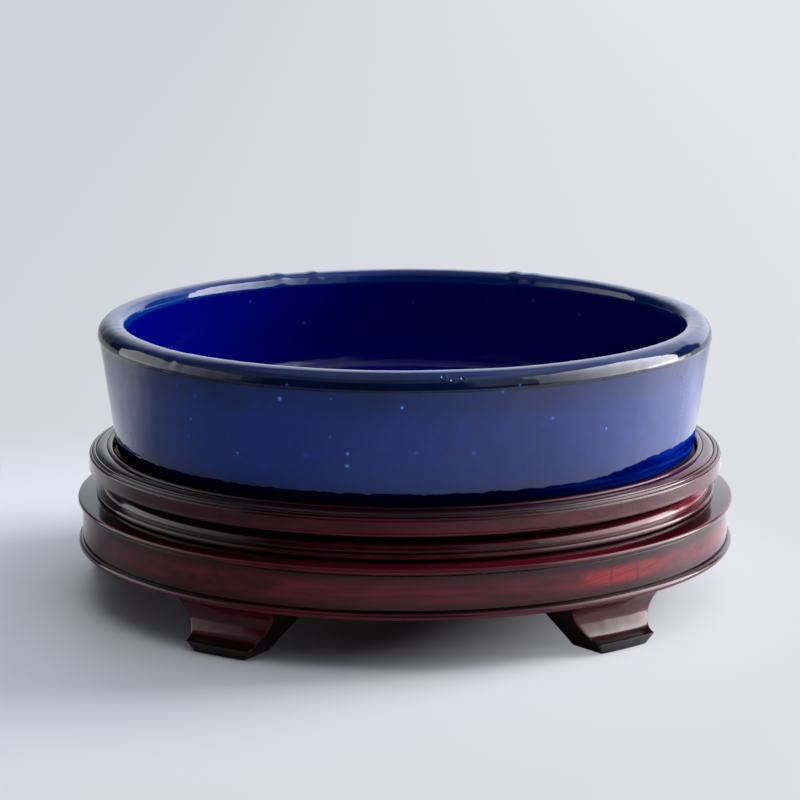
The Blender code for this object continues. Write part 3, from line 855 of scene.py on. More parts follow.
def speck_share(board, place):
    """How much of a healed bubble shows: a fine one in a few cells of a pattern, and the placed ones."""
    cells = {"Vector": place, "Scale": FINE_SPECK_CELLS, "Randomness": 1.0}
    near = board.node("ShaderNodeTexVoronoi", inputs=cells, output="Distance")
    pick = board.node("ShaderNodeTexVoronoi", inputs=cells, output="Color")
    share = board.between(near, *FINE_SPECK_SIZES, FINE_SPECK_STRENGTH, 0.0)
    share = share * (board.part(pick, "X") > FINE_SPECKS_FROM)
    for middle, size, strength in specks:
        away = board.apart(place, middle)
        share = share.over(board.between(away, size * SPECK_CORE, size * SPECK_EDGE, strength, 0.0))
    return share


def glaze_colour(board, point):
    """The coats of the glaze and its painted shade, from the cobalt up to the specks."""
    thin_and_shaded = board.between(point.depth, FULL_DEPTH, THIN_AND_SHADED_DEPTH)
    uneven = point.depth + (point.cloud - NOISE_MIDDLE) * CLOUD_IN_DEPTH * thin_and_shaded
    colour = board.blend(point.cloud, POOLED, RUNNING)
    colour = board.blend(board.between(point.mottle, *MOTTLE_RANGE) * MOTTLE_SHARE, colour, MOTTLED)
    # Low depths blend towards dark: the clay under thin glaze on the roll, and painted shade under the roll
    # and towards the foot.
    colour = board.blend(board.between(uneven, 0.0, 1.0), CLAY_AND_SHADE, colour)
    # Painted shade: the inside of the bowl is a darker blue than the wall.
    colour = board.blend(point.within, colour, BOWL_SHADE_BLUE)
    # Painted shade: a thin dark line in the crease under the roll.
    in_crease = board.between((point.height - crease_height).size(), *CREASE_HALF, 1.0, 0.0)
    in_crease = in_crease * board.between(point.depth, *CREASE_DEPTHS, 1.0, 0.0)
    colour = board.blend(in_crease, colour, CREASE_SHADE)
    speck = speck_share(board, point.place)
    healed = board.blend(board.between(speck, *HEALED_SHARES), HEALED_RIM, HEALED_MIDDLE)
    return board.blend(speck, colour, healed)


print("colour of the glaze: cobalt from", POOLED[:3], "to", RUNNING[:3])

# %% [markdown]
# At its foot the wall shows a dark ragged band, most likely the dark stand mirrored in uneven glaze: near
# black in front, clear blue at the right. Soft lamps alone don't give it, so a second, dull shader stands
# for it, with painted reflection and painted shade near black in front and under the lip, and painted light
# in clear blue streaks at the right. The same dull shader makes the half dull inside of the bowl. A Mix
# Shader goes from the glossy one to it.

# %% Foot of the glaze
FOOT_LINE = 0.0648
FOOT_LINE_RISE = 0.0040
RAGGED_NOISE, RAGGED_BY = (240.0, 4.0, 0.65), 0.0027
LINE_SOFT = 0.00012
RISE_ACROSS = (0.068, 0.102)
LIT_BLUE_ACROSS = (0.03, 0.10)
SHADE_HEIGHTS, SHADE_SHARE = (0.0600, 0.0625), 0.45
BARE_HEIGHTS = (0.0576, 0.0584)
BOWL_DULL_HEIGHTS, BOWL_DULL_SHARES = (0.0715, 0.0790), (0.35, 0.80)
OUTSIDE_DEPTHS = (1.05, 1.20)
LIT_STREAK_STRETCH, LIT_STREAK_NOISE, LIT_STREAK_RANGE = (28.0, 28.0, 520.0), (1.0, 3.0, 0.6), (0.40, 0.66)
MIRRORED_STAND_SHADE, FOOT_LIP_SHADE = (0.0001, 0.0016, 0.016, 1), (0.0001, 0.0010, 0.008, 1)
FOOT_BAND_LIT_BLUE, FOOT_BAND_LIT_STREAKS = (0.0001, 0.0040, 0.105, 1), (0.0008, 0.0240, 0.270, 1)
BARE_CLAY = (0.230, 0.160, 0.120, 1)


def foot_colour(board, point, glazed):
    """Painted light as blue streaks at the right, painted reflection and shade near black in front and under
    the lip, bare clay on the foot ring; inside, the glaze itself.
    """
    # Painted light: the blue at the right, with lighter streaks through it.
    runs = board.noise(board.stretch(point.place, LIT_STREAK_STRETCH), *LIT_STREAK_NOISE)
    blue = board.blend(board.between(runs, *LIT_STREAK_RANGE), FOOT_BAND_LIT_BLUE, FOOT_BAND_LIT_STREAKS)
    # Painted reflection and shade near black in front, going over to the painted light at the right.
    colour = board.blend(board.between(point.east, *LIT_BLUE_ACROSS), MIRRORED_STAND_SHADE, blue)
    # Painted shade just above the lip of the stand.
    colour = board.blend(board.between(point.height, *SHADE_HEIGHTS, SHADE_SHARE, 0.0), colour, FOOT_LIP_SHADE)
    colour = board.blend(board.between(point.height, *BARE_HEIGHTS), BARE_CLAY, colour)
    return board.blend(point.within, colour, glazed)


def dull_share(board, point):
    """1 below the ragged foot line, which rises at the right, and a part of the bowl's inside."""
    ragged = (board.noise(point.place, *RAGGED_NOISE) - NOISE_MIDDLE) * RAGGED_BY
    rise = board.between(point.east, *RISE_ACROSS, 0.0, FOOT_LINE_RISE)
    below = board.between(point.height - FOOT_LINE - rise + ragged, -LINE_SOFT, LINE_SOFT, 1.0, 0.0)
    below = below * board.between(point.depth, *OUTSIDE_DEPTHS, 1.0, 0.0)
    return below.over(point.within * board.between(point.height, *BOWL_DULL_HEIGHTS, *BOWL_DULL_SHARES))


print("foot line", round((FOOT_LINE - HEEL_HEIGHT) * 1000, 1), "mm above the heel")

# %% [markdown]
# The gloss itself is almost that of a mirror, with a faint orange-peel wave. The chips on the near rim
# are pits with a raised edge. They are hardly larger than the grid's quads, so they are bump, not shape.

# %% Fire the glaze
GLAZE_IOR = 1.5
CLOUD_NOISE, MOTTLE_NOISE = (28.0, 4.0, 0.55), (220.0, 3.0, 0.65)
PEEL_NOISE, GLAZE_BUMP = (150.0, 1.0, 0.5), 0.00006
PIT, PIT_EDGE = -6.0, 1.5
PIT_FLOOR, PIT_BRINK, PIT_END = 0.2, 0.9, 1.5
GLOSS, GLOSS_INSIDE = (0.045, 0.070), 0.02
DULL_GLOSS = (0.70, 0.90)
GLOSS_RANGE = (0.3, 0.7)
BOWL_DEPTHS = (1.05, 1.95)


def chipped_wave(board, place):
    """A gentle wave, with a pit and a ring round it at each chip."""
    wave = board.noise(place, *PEEL_NOISE)
    for middle, size in chips:
        away = board.apart(place, middle)
        wave = wave + board.between(away, size * PIT_FLOOR, size * PIT_BRINK, PIT, 0.0)
        wave = wave + board.between(away, size * PIT_BRINK, size * PIT_END, PIT_EDGE, 0.0)
    return wave


def make_glaze():
    """The glossy glaze, going over to its dull twin at the foot and inside."""
    material = bpy.data.materials.new("cobalt_glaze")
    board = Board(material)
    point = SimpleNamespace(place=board.place(), depth=board.attribute("depth"))
    point.east, point.height = board.part(point.place, "X"), board.part(point.place, "Z")
    point.cloud = board.noise(point.place, *CLOUD_NOISE)
    point.mottle = board.noise(point.place, *MOTTLE_NOISE)
    point.within = board.between(point.depth, *BOWL_DEPTHS)
    colour = glaze_colour(board, point)
    bright = board.surface({
        "Base Color": colour,
        "Roughness": board.between(point.cloud, *GLOSS_RANGE, *GLOSS) + GLOSS_INSIDE * point.within,
        "Normal": board.bump(chipped_wave(board, point.place), GLAZE_BUMP),
        "IOR": GLAZE_IOR,
    })
    dull = board.surface({
        "Base Color": foot_colour(board, point, colour),
        "Roughness": board.between(point.mottle, *GLOSS_RANGE, *DULL_GLOSS),
        "Specular IOR Level": 0.0,
    })
    share = dull_share(board, point)
    board.show(board.node("ShaderNodeMixShader", inputs={0: share, 1: bright, 2: dull}))
    return material


glaze = make_glaze()
pot.data.materials.append(glaze)
print("glaze:", len(glaze.node_tree.nodes), "nodes")

# %% [markdown]
# ## Lacquered hardwood
# The stand is a red-brown hardwood under toned lacquer. The tone is darker towards the edges of the band,
# so the red of the wood shows in the middle of the broad faces and where a bead has been rubbed through.
# The grooves and recesses are darker still, and some sides lighter or darker, as painted shade and painted
# light. Streaks follow the grain of each sawn board. A plain wood pattern would run straight through the
# joints, so the grain is read from each piece's own points.

# %% Measures for the lacquer
BAND_MIDDLE = (BASE_LOW + BASE_TOP) / 2 - 0.0003
BAND_HALF = 0.0066
STREAK_STRETCH, STREAK_NOISE = (14.0, 260.0, 260.0), (1.0, 4.0, 0.6)
PORE_STRETCH, PORE_NOISE = (45.0, 1600.0, 1600.0), (1.0, 2.0, 0.6)
FIGURE_STRETCH, FIGURE_NOISE = (13.0, 55.0, 210.0), (1.0, 3.0, 0.55)
BAND_EDGE = (1.25, 1.35)
LEDGE_HEIGHTS = (BASE_TOP - 0.0016, BASE_TOP - 0.0010)
ORIGIN, LEVEL = (0.0, 0.0, 0.0), (1.0, 1.0, 0.0)


def stand_point(board):
    """What the lacquer needs to know of a point: its place round and up the stand, and its wood."""
    point = SimpleNamespace(place=board.place())
    point.proud, point.clear = board.attribute("proud"), board.attribute("clear")
    point.east, point.height = board.part(point.place, "X"), board.part(point.place, "Z")
    point.turn = point.east.angle_from(0.0 - board.part(point.place, "Y"))
    point.reach = board.apart(board.stretch(point.place, LEVEL), ORIGIN)
    point.off_middle = (point.height - BAND_MIDDLE).size() / BAND_HALF
    point.on_band = board.between(point.off_middle, *BAND_EDGE, 1.0, 0.0)
    point.above_band = board.between(point.height, *LEDGE_HEIGHTS)
    grain = board.attribute("grain", "Vector")
    point.streak = board.noise(board.stretch(grain, STREAK_STRETCH), *STREAK_NOISE)
    point.pores = board.noise(board.stretch(grain, PORE_STRETCH), *PORE_NOISE)
    point.figure = board.noise(board.stretch(grain, FIGURE_STRETCH), *FIGURE_NOISE)
    return point


print("band's middle", round(BAND_MIDDLE * 1000, 2), "mm up, half", BAND_HALF * 1000, "mm high")

# %% [markdown]
# First comes the wood with its sprayed tone: the streaked ground, the red figure of the band, weaker at the
# left as painted shade, and the dark margins of the band. Over it go painted light and shade: the ledge
# above the band is crimson where lit, in front and near its outer edge, and painted dark elsewhere, and the
# top of the upper ring is painted dark as shade, most at the left.

# %% Wood and sprayed tone
GROUND_DARK, GROUND_LIGHT = (0.0500, 0.0016, 0.0090, 1), (0.1020, 0.0038, 0.0200, 1)
BAND_RED = (0.1700, 0.0070, 0.0240, 1)
LEDGE_LIT_RED, LEDGE_SHADE = (0.1000, 0.0030, 0.0080, 1), (0.0120, 0.0007, 0.0022, 1)
CROWN_SHADE = (0.0060, 0.0005, 0.0016, 1)
MARGIN_DARK = (0.0160, 0.0011, 0.0040, 1)
STREAK_RANGE = (0.3, 0.75)
RED_RANGE, RED_SHARE = (0.40, 0.66), 0.9
RED_SHADE_TURNS, RED_IN_LEFT_SHADE = (-1.15, -0.40), 0.25
LEDGE_FACES, LEDGE_TURNS = 0.17, (0.30, 0.72)
LEDGE_REACH = (BAND - 0.0046, BAND - 0.0026)
LEDGE_LIT_RED_SHARE, LEDGE_SHADE_SHARE = 0.60, 0.75
CROWN_HEIGHTS = (FRAME_TOP - 0.0042, FRAME_TOP - 0.0032)
CROWN_ACROSS, CROWN_SHARES = (0.04, 0.11), (0.86, 0.30)
MARGIN_RANGE, MARGIN_SHARE = (0.30, 0.95), 0.85
FIGURE_IN_MARGIN = 0.6


def toned_and_shaded_wood(board, point):
    """Ground, red figure with painted shade at the left, the ledge's painted light and shade, the crown's
    painted shade and the dark margins of the band, in this order.
    """
    colour = board.blend(board.between(point.streak, *STREAK_RANGE), GROUND_DARK, GROUND_LIGHT)
    red = board.between(point.figure, *RED_RANGE) * point.on_band
    # Painted shade: the red figure is weaker at the left, away from the light.
    red = red * board.between(point.turn, *RED_SHADE_TURNS, RED_IN_LEFT_SHADE, 1.0)
    colour = board.blend(red * RED_SHARE, colour, BAND_RED)
    # Painted light and shade on the ledge: crimson where lit, in front near its outer edge, and dark
    # elsewhere.
    ledge = point.above_band * board.between(point.height, BASE_TOP, WAIST_LOW, 1.0, 0.0)
    lit_front = board.between((point.turn - LEDGE_FACES).size(), *LEDGE_TURNS, 1.0, 0.0)
    lit_front = lit_front * board.between(point.reach, *LEDGE_REACH)
    colour = board.blend(ledge * lit_front * LEDGE_LIT_RED_SHARE, colour, LEDGE_LIT_RED)
    colour = board.blend(ledge * (1.0 - lit_front) * LEDGE_SHADE_SHARE, colour, LEDGE_SHADE)
    # Painted shade: the top of the upper ring is darkened, most at the left.
    crown = board.between(point.height, *CROWN_HEIGHTS)
    crown = crown * board.between(point.east, *CROWN_ACROSS, *CROWN_SHARES)
    colour = board.blend(crown, colour, CROWN_SHADE)
    ragged = point.off_middle + (point.figure - NOISE_MIDDLE) * FIGURE_IN_MARGIN
    margin = board.between(ragged, *MARGIN_RANGE) * point.on_band
    return board.blend(margin * MARGIN_SHARE, colour, MARGIN_DARK)


print("wood tone: red from", GROUND_DARK[0], "to", GROUND_LIGHT[0])

# %% [markdown]
# Over the right front foot the band has a patch of bright red figure, with two fine breaks across it. A
# small table gives its strength round the stand. Its strokes lie on coordinates of the ring, round and up,
# because the straight grain of the board runs out of the band there.

# %% Bright figure on the band
FIGURE_AT = [
    # angle in degrees, strength of the red
    (28.8, 0.00),
    (32.5, 1.00),
    (35.5, 1.00),
    (44.0, 0.80),
    (51.0, 0.28),
    (63.0, 0.00),
]
FIGURE_BREAKS = (36.1, 42.05)
BREAK_HALF, BREAK_SHARE = (0.12, 0.42), 0.15
FIGURE_HALF = (0.22, 0.66)
STROKES_ROUND, STROKES_UP, STROKES_LEAN = 8.5, 900.0, 16.0
STROKE_NOISE, STROKE_RANGE, STROKE_SHARE = (1.0, 4.0, 0.65), (0.38, 0.60), 0.16


def bright_figure(board, point):
    """Share of the bright red: smooth steps from row to row of the table, cut by breaks and strokes."""
    degrees = point.turn * (180 / math.pi)
    steps = []
    for (first, low), (last, top) in zip(FIGURE_AT, FIGURE_AT[1:]):
        here = (degrees > first) * (1.0 - (degrees > last))
        steps.append(here * board.between(degrees, first, last, low, top))
    patch = sum(steps[1:], steps[0])
    for place_of_break in FIGURE_BREAKS:
        patch = patch * board.between((degrees - place_of_break).size(), *BREAK_HALF, BREAK_SHARE, 1.0)
    up = point.height * STROKES_UP - point.turn * STROKES_LEAN
    sweep = board.node("ShaderNodeCombineXYZ", inputs={0: point.turn * STROKES_ROUND, 2: up})
    strokes = board.between(board.noise(sweep, *STROKE_NOISE), *STROKE_RANGE, STROKE_SHARE, 1.0)
    return patch * board.between(point.off_middle, *FIGURE_HALF, 1.0, 0.0) * point.on_band * strokes


print("bright figure from", FIGURE_AT[0][0], "to", FIGURE_AT[-1][0], "degrees")

# %% [markdown]
# Last come the pores and the beads rubbed through to the red, then painted light and shade: the neck
# painted crimson at the right as if lit, painted shade on the left side, and painted shade near black in the
# grooves, with less of it at the right. The grooves are also a little less smooth.

# %% Lacquer
FIGURE_RED = (0.4300, 0.0170, 0.0220, 1)
PORE_DARK = (0.0120, 0.0010, 0.0030, 1)
RUBBED_RED = (0.1100, 0.0070, 0.0220, 1)
NECK_LIT_CRIMSON = (0.2300, 0.0110, 0.0280, 1)
LEFT_SHADE = (0.0100, 0.0008, 0.0028, 1)
GROOVE_SHADE = (0.0020, 0.0003, 0.0006, 1)
FIGURE_SHARE = 0.85
PORE_RANGE, PORE_SHARE = (0.60, 0.80), 0.35
RUBBED_PROUD, RUBBED_FIGURE, RUBBED_SHARE = (0.10, 0.30), (0.35, 0.65), 0.5
NECK_HEIGHTS = (WAIST_LOW + 0.0015, WAIST_LOW + 0.0030)
NECK_ACROSS, NECK_SHARE = (0.02, 0.10), 0.75
LEFT_SHADE_ACROSS, LEFT_SHADE_SHARE = (-0.09, 0.02), 0.60
UNDER_EDGE = (FOOT_TOP, BASE_LOW + 0.0015)
LIT_GROOVE_ACROSS, LIT_GROOVE_SHARES = (0.03, 0.10), (0.07, 0.43)
SHUT_SHARES, GROOVE_SHADE_SHARE = (0.22, 0.70), 0.93
LACQUER_IOR = 1.42
LACQUER_GLOSS, GROOVE_GLOSS = (0.08, 0.14), 0.10
STREAKS_IN_GLOSS = (0.2, 0.8)
WAVE_NOISE, STREAK_IN_WAVE, PORES_IN_WAVE = (60.0, 2.0, 0.5), 0.15, 0.06
LACQUER_BUMP, LACQUER_BUMP_SHARE = 0.00025, 0.18


def lacquer_wear_and_shade(board, point, shut):
    """The toned wood with its bright figure, pores and rubbed beads, then painted light on the neck and
    painted shade on the left side and in the grooves.
    """
    colour = board.blend(bright_figure(board, point) * FIGURE_SHARE, toned_and_shaded_wood(board, point), FIGURE_RED)
    colour = board.blend(board.between(point.pores, *PORE_RANGE) * PORE_SHARE, colour, PORE_DARK)
    rubbed = board.between(point.proud, *RUBBED_PROUD) * board.between(point.figure, *RUBBED_FIGURE)
    colour = board.blend(rubbed * RUBBED_SHARE, colour, RUBBED_RED)
    # Painted light: the waist turns crimson at the right, where the light reaches in.
    neck = board.between(point.height, *NECK_HEIGHTS)
    neck = neck * board.between(point.height, WAIST_TOP, FRAME_LOW, 1.0, 0.0)
    neck = neck * board.between(point.east, *NECK_ACROSS, 0.0, NECK_SHARE)
    colour = board.blend(neck, colour, NECK_LIT_CRIMSON)
    # Painted shade: everything above the band is darker at the left.
    left_shade = point.above_band * board.between(point.east, *LEFT_SHADE_ACROSS, LEFT_SHADE_SHARE, 0.0)
    colour = board.blend(left_shade, colour, LEFT_SHADE)
    # Painted shade near black where little round a point is clear, as in grooves, recesses and the hidden
    # faces of the feet; at the right, above the feet, painted light takes part of it back.
    above_feet = board.between(point.height, *UNDER_EDGE)
    lit_at_right = above_feet * board.between(point.east, *LIT_GROOVE_ACROSS, *LIT_GROOVE_SHARES)
    return board.blend(shut * (GROOVE_SHADE_SHARE - lit_at_right), colour, GROOVE_SHADE)


def make_lacquer():
    """Worn lacquer over the wood with painted light and shade, and a faint wave of streaks and pores."""
    material = bpy.data.materials.new("lacquered_hardwood")
    board = Board(material)
    point = stand_point(board)
    # Painted shade: shut grows where little of the surroundings is clear.
    shut = board.between(point.clear, *SHUT_SHARES, 1.0, 0.0)
    wave = board.noise(point.place, *WAVE_NOISE)
    wave = wave + STREAK_IN_WAVE * point.streak + PORES_IN_WAVE * point.pores
    board.show(board.surface({
        "Base Color": lacquer_wear_and_shade(board, point, shut),
        "Roughness": board.between(point.streak, *STREAKS_IN_GLOSS, *LACQUER_GLOSS) + GROOVE_GLOSS * shut,
        "Normal": board.bump(wave, LACQUER_BUMP, LACQUER_BUMP_SHARE),
        "IOR": LACQUER_IOR,
    }))
    return material


lacquer = make_lacquer()
for piece in lacquered:
    piece.data.materials.append(lacquer)
print("lacquer:", len(lacquer.node_tree.nodes), "nodes on", len(lacquered), "pieces")

# %% [markdown]
# ## Planed wood inside the stand
# The seat boards, the battens under them and the splines and dowels in the joints are left without
# lacquer. They keep the solids' own shapes. Only the direction of the grain differs, so one function
# makes their finish for any turn of the board. Splines and dowels share the finish of split pegs.

# %% Planed wood
PLANED_DARK, PLANED_LIGHT = (0.150, 0.052, 0.030, 1), (0.290, 0.120, 0.066, 1)
PLANED_PORES = (0.070, 0.024, 0.016, 1)
PORES_FINER = (4.0, 4.0, 4.0)
ALONG, ACROSS = 12.0, 220.0
PLANED_NOISE, PLANED_RANGE = (1.0, 5.0, 0.6), (0.3, 0.7)
PLANED_PORE_RANGE, PLANED_PORE_SHARE = (0.58, 0.75), 0.6
PLANED_GLOSS = (0.62, 0.48)
PORES_IN_BUMP = 0.4
PLANED_BUMP, PLANED_BUMP_SHARE = 0.0003, 0.4


def make_planed_wood(name, turn, stretch):
    """Streaks and pores, turned with the board and stretched along its grain."""
    material = bpy.data.materials.new(name)
    board = Board(material)
    turned = board.node("ShaderNodeMapping", inputs={"Vector": board.place(), "Rotation": (0.0, 0.0, -turn)})
    line = board.stretch(turned, stretch)
    streak = board.noise(line, *PLANED_NOISE)
    pores = board.noise(board.stretch(line, PORES_FINER), *PORE_NOISE)
    colour = board.blend(board.between(streak, *PLANED_RANGE), PLANED_DARK, PLANED_LIGHT)
    colour = board.blend(board.between(pores, *PLANED_PORE_RANGE) * PLANED_PORE_SHARE, colour, PLANED_PORES)
    board.show(board.surface({
        "Base Color": colour,
        "Roughness": board.between(streak, *STREAKS_IN_GLOSS, *PLANED_GLOSS),
        "Normal": board.bump(streak + PORES_IN_BUMP * pores, PLANED_BUMP, PLANED_BUMP_SHARE),
    }))
    return material


inside = {
    "seat_board": make_planed_wood("planed_boards", FIRST_FOOT + math.pi / 2, (ACROSS, ALONG, ACROSS)),
    "seat_batten": make_planed_wood("planed_battens", FIRST_FOOT, (ACROSS, ALONG, ACROSS)),
    "peg": make_planed_wood("split_pegs", 0.0, (ACROSS, ACROSS, ALONG)),
}
kept_solids = {name: node for name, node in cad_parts.items() if not node.hide_render}
for name, node in kept_solids.items():
    kind = next((key for key in inside if name.startswith(key)), "peg")
    node.data.materials.clear()
    node.data.materials.append(inside[kind])
print("planed wood on", len(kept_solids), "solids")

# %% [markdown]
# ## Floor
# The object stands on a pale satin table. Near the object the table is an ordinary lit surface that takes
# the shadow, and under the stand its colour is darker as a painted shadow; further out the camera sees an
# even pale tone. A glossy object also mirrors the table, so the mirrored table has painted light and
# shade: pale at the right and behind, and dark in front, as a table in a dim room is.

# %% Table
TABLE_SIDE = 8.0
PALE_LEFT, PALE_RIGHT = (0.625, 0.645, 0.705, 1), (0.770, 0.780, 0.820, 1)
SHADED_TABLE, LIT_TABLE = (0.20, 0.20, 0.22, 1), (0.755, 0.76, 0.82, 1)
MIRRORED_DARK, MIRRORED_PALE = (0.01, 0.01, 0.01, 1), (0.98, 0.98, 1.0, 1)
SHADOW_MIDDLE, SHADOW_REACH = (-0.12, 0.0, 0.0), (0.14, 0.32)
UNDER_STAND, UNDER_SHARE = (0.075, 0.128), 0.30
SHEEN_ACROSS, SHEEN_SHARES = (-0.20, 0.32), (0.28, 0.96)
SHEEN_BEHIND, BEHIND_SHARE = (-0.06, 0.14), 0.80
SHEEN_FAR, FAR_SHARE = (0.20, 0.40), 0.5
SHEEN_FRONT = (-0.52, -0.24)
PALE_ACROSS = (-0.45, 0.45)
GLOW_BEHIND, GLOW_ACROSS, GLOW_AT_LEFT = (0.20, 0.45), (-0.34, -0.16), 0.30
TABLE_GLOSS, TABLE_IOR = 0.55, 1.35


def mirrored_table(board, across, along):
    """Tone of the table in the gloss of the object, with painted light and shade: pale at the right and
    behind, dark in front.
    """
    sheen = board.between(across, *SHEEN_ACROSS, *SHEEN_SHARES)
    sheen = sheen.over(board.between(along, *SHEEN_BEHIND, 0.0, BEHIND_SHARE))
    sheen = sheen * board.between(along, *SHEEN_FAR, 1.0, FAR_SHARE) * board.between(along, *SHEEN_FRONT)
    return board.blend(sheen, MIRRORED_DARK, MIRRORED_PALE)


def make_table_finish():
    """A lit satin surface near the object, and an even pale glow further out and behind."""
    material = bpy.data.materials.new("pale_table")
    board = Board(material)
    place = board.place()
    across, along = board.part(place, "X"), board.part(place, "Y")
    camera, glossy = board.ray_is("Camera"), board.ray_is("Glossy")
    # Painted shadow: the table's colour is darker under the stand.
    out_from_under = board.between(board.apart(place, ORIGIN), *UNDER_STAND, UNDER_SHARE, 1.0)
    lit = board.blend(out_from_under, SHADED_TABLE, LIT_TABLE)
    # Painted light and shade: in the gloss of the object the table takes a tone of its own.
    lit = board.blend(glossy, lit, mirrored_table(board, across, along))
    satin = board.surface({"Base Color": lit, "Roughness": TABLE_GLOSS, "IOR": TABLE_IOR})
    pale = board.blend(board.between(across, *PALE_ACROSS), PALE_LEFT, PALE_RIGHT)
    glow = board.node("ShaderNodeEmission", inputs={"Color": pale, "Strength": 1.0})
    far = board.between(board.apart(place, SHADOW_MIDDLE), *SHADOW_REACH)
    behind = board.between(along, *GLOW_BEHIND) * board.between(across, *GLOW_ACROSS, GLOW_AT_LEFT, 1.0)
    share = camera * far + glossy * behind
    board.show(board.node("ShaderNodeMixShader", inputs={0: share, 1: satin, 2: glow}))
    return material


corners = TABLE_SIDE * np.array([(-1, -1, 0), (1, -1, 0), (1, 1, 0), (-1, 1, 0)])
table_mesh = bpy.data.meshes.new("table")
table_mesh.from_pydata(corners.tolist(), [], [(0, 1, 2, 3)])
table_mesh.materials.append(make_table_finish())
table = bpy.data.objects.new("table", table_mesh)
bpy.context.scene.collection.objects.link(table)
print("table:", 2 * TABLE_SIDE, "m wide")

# %% [markdown]
# ## Lamps
# Gloss shows the shape of a lamp, and a dull surface only its strength. So the lamps do one job each: a
# tall panel and a low one at the right and a card at the left are only mirrored, and a key lamp behind at
# the right and a soft ceiling only light. The mirrored ones fade along their length, as a cloth in front
# of a lamp does, so that each mirror image has one soft edge and one firm one.

# %% Lamps
WHITE = (1.0, 0.99, 1.0)
WARM_WHITE = (1.0, 0.97, 0.98)
COOL_WHITE = (0.98, 0.99, 1.0)
CEILING_HEIGHT = 1.9
NO_FADE = {"fade": (0.0, 0.01), "dim": 0.0, "top": 0.05}


def soft_light(name, azimuth, distance, foot, size, colour, radiance, mirrored, fade, dim, top):
    """An upright soft panel that faces the pot. Azimuth 0 is on the viewer's side, and + is to the right.

    Along the panel its light rises smoothly from dim to full between the two places in fade, and its
    upper edge fades out over the share top of its height.
    """
    lamp = bpy.data.lights.new(name, "AREA")
    lamp.shape = "RECTANGLE"
    lamp.size, lamp.size_y = size
    lamp.color = colour
    lamp.energy = radiance * math.pi * size[0] * size[1]
    board = Board(lamp)
    place = board.node("ShaderNodeNewGeometry", output="Parametric")
    along, up = board.part(place, "X"), board.part(place, "Y")
    strength = board.between(along, fade[0], fade[1], dim, 1.0) * board.between(up, 1.0 - top, 1.0, 1.0, 0.0)
    board.show(board.node("ShaderNodeEmission", inputs={"Strength": strength}), "Light")
    turn = math.radians(azimuth)
    holder = bpy.data.objects.new(name, lamp)
    holder.location = (distance * math.sin(turn), -distance * math.cos(turn), foot + size[1] / 2)
    holder.rotation_euler = (math.pi / 2, 0.0, turn)
    holder.visible_camera = False
    holder.visible_diffuse = not mirrored
    holder.visible_glossy = mirrored
    bpy.context.scene.collection.objects.link(holder)
    return holder


soft_light(
    "side_panel", azimuth=79, distance=0.70, foot=0.00, size=(0.90, 0.86), colour=WHITE,
    radiance=9.0, mirrored=True, fade=(0.00, 0.85), dim=0.15, top=0.08,
)
soft_light(
    "low_panel", azimuth=103, distance=0.48, foot=0.005, size=(0.24, 0.095), colour=WHITE,
    radiance=4.5, mirrored=True, fade=(1.0, 0.75), dim=0.0, top=0.25,
)
soft_light(
    "left_card", azimuth=-88, distance=0.60, foot=0.00, size=(0.75, 0.46), colour=WARM_WHITE,
    radiance=1.65, mirrored=True, fade=(1.0, 0.25), dim=0.15, top=0.12,
)
soft_light(
    "key", azimuth=110, distance=1.15, foot=0.30, size=(0.70, 0.45), colour=WHITE,
    radiance=25.0, mirrored=False, **NO_FADE,
)
ceiling = soft_light(
    "ceiling", azimuth=0, distance=0.25, foot=1.10, size=(1.5, 1.5), colour=COOL_WHITE,
    radiance=1.35, mirrored=False, **NO_FADE,
)
ceiling.location.z = CEILING_HEIGHT
ceiling.rotation_euler = (0.0, 0.0, 0.0)

# %% [markdown]
# ## Sky
# The rest of the room is drawn on the sky: a dim lower wall with a paler stretch behind the object, a
# pale strip above that, a soft ceiling, and a dark place where the viewer stands. A picture of a real
# room could do this too, but each band here can be moved alone. The camera sees a plain pale tone.

# %% Sky
SKY_TINT = (0.92, 0.96, 1.05, 1)
SKY_TONE = 0.72
# Turns are radians away from the viewer; across and heights are the X and the Z of a unit direction.
WALL_ACROSS, WALL_LEVELS = (-0.50, 0.60), (0.25, 0.55)
GAP_TURNS, GAP_SHARE = (1.75, 2.05), 0.10
BACK_TURNS, BACK_ACROSS, BACK_LEVELS = (2.42, 2.50), (-0.50, 0.05), (0.12, 1.20)
BACK_RIGHT, BACK_RIGHT_LEVEL = (0.15, 0.40), 0.40
STRIP_HEIGHTS, STRIP_TURNS = (0.33, 0.42), (1.55, 2.00)
STRIP_ACROSS, STRIP_LEVELS = (-0.60, -0.05), (0.08, 1.15)
CEILING_FROM = (0.68, 0.76)
OVERHEAD, OVERHEAD_LEVELS = (0.80, 0.92), (0.15, 0.42)
GLEAM_ACROSS, GLEAM_END, GLEAM_LEVEL = (0.08, 0.36), (0.92, 0.97), 0.60
VIEWER_TURN, VIEWER_HALF = 0.28, (0.62, 0.80)
VIEWER_TOP, VIEWER_SHARE = (0.52, 0.70), 0.95


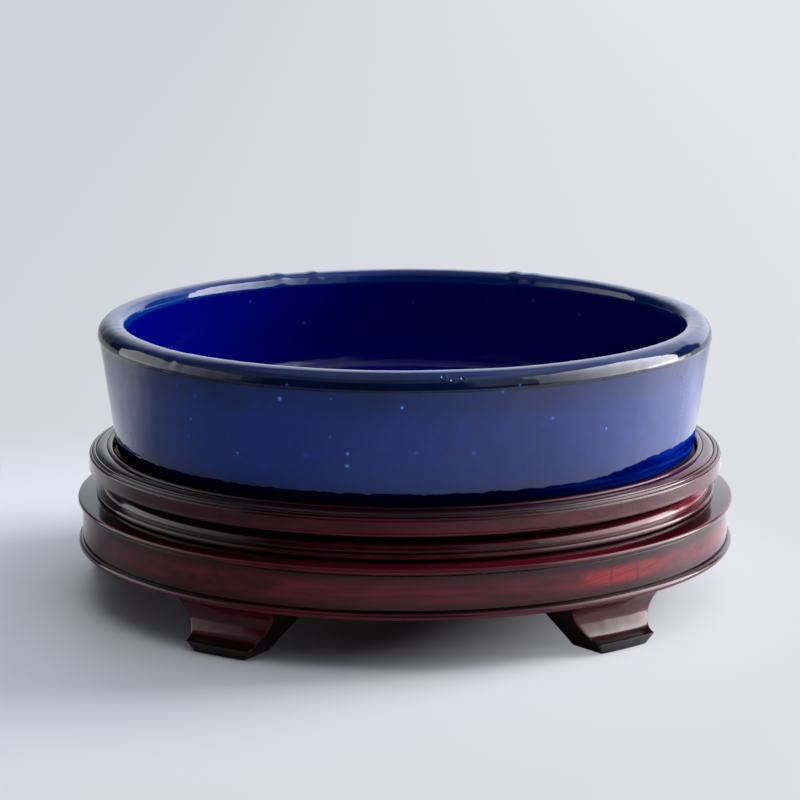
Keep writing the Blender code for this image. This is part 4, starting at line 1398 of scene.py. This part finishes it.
def room_level(board, side, ahead, up):
    """Brightness of the room in each direction: wall, back wall, strip, ceiling and the dark viewer."""
    facing = side.angle_from(0.0 - ahead)
    aside = facing.size()
    back = board.between(aside, *BACK_TURNS)
    gap = board.between(aside, *GAP_TURNS, 1.0, GAP_SHARE)
    low = board.between(side, *WALL_ACROSS, *WALL_LEVELS) * gap * (1.0 - back)
    low = low + board.between(side, *BACK_ACROSS, *BACK_LEVELS) * back
    low = low + BACK_RIGHT_LEVEL * board.between(side, *BACK_RIGHT) * back
    strip = board.between(up, *STRIP_HEIGHTS) * board.between(aside, *STRIP_TURNS)
    low = low * (1.0 - strip) + board.between(side, *STRIP_ACROSS, *STRIP_LEVELS) * strip
    high = board.between(up, *CEILING_FROM)
    above = board.between(up, *OVERHEAD, *OVERHEAD_LEVELS)
    gleam = board.between(side, *GLEAM_ACROSS, 0.0, GLEAM_LEVEL)
    above = above + gleam * board.between(up, *GLEAM_END, 1.0, 0.0)
    viewer = board.between((facing + VIEWER_TURN).size(), *VIEWER_HALF, VIEWER_SHARE, 0.0)
    viewer = viewer * board.between(up, *VIEWER_TOP, 1.0, 0.0)
    return (low * (1.0 - high) + above * high) * (1.0 - viewer)


world = bpy.data.worlds.new("studio")
bpy.context.scene.world = world
sky = Board(world)
way = sky.node("ShaderNodeTexCoord", output="Generated")
level = room_level(sky, sky.part(way, "X"), sky.part(way, "Y"), sky.part(way, "Z"))
camera_ray = sky.ray_is("Camera")
strength = level * (1.0 - camera_ray) + SKY_TONE * camera_ray
sky.show(sky.node("ShaderNodeBackground", inputs={"Color": SKY_TINT, "Strength": strength}), "World")
print("sky:", len(world.node_tree.nodes), "nodes")

# %% [markdown]
# ## Camera
# The camera stands well back with a long lens and looks down a little, so the rings show as flat
# ellipses. Its lens follows from the focal length in pixels of a square picture, and a small shift puts
# the axis of the pot where it belongs in that picture.

# %% Camera
FRAME_SIDE = 800
AXIS_PIXEL = 405.03
FOCAL_PIXELS = 3003.8
SENSOR = 36.0
CAMERA_PLACE = (0.0, -1.2084, 0.3260)
LOOKS_DOWN = 11.682
lens = bpy.data.cameras.new("camera")
lens.sensor_width = SENSOR
lens.lens = FOCAL_PIXELS / FRAME_SIDE * SENSOR
lens.shift_x = (FRAME_SIDE / 2 - AXIS_PIXEL) / FRAME_SIDE
camera = bpy.data.objects.new("camera", lens)
camera.location = CAMERA_PLACE
camera.rotation_euler = (math.radians(90 - LOOKS_DOWN), 0.0, 0.0)
bpy.context.scene.collection.objects.link(camera)
bpy.context.scene.camera = camera
bpy.context.scene.view_settings.view_transform = "Standard"
print("lens", round(lens.lens, 1), "mm, shifted by", round(lens.shift_x, 4))

# %% [markdown]
# ## Size
# A dress must not change the size of what it covers.
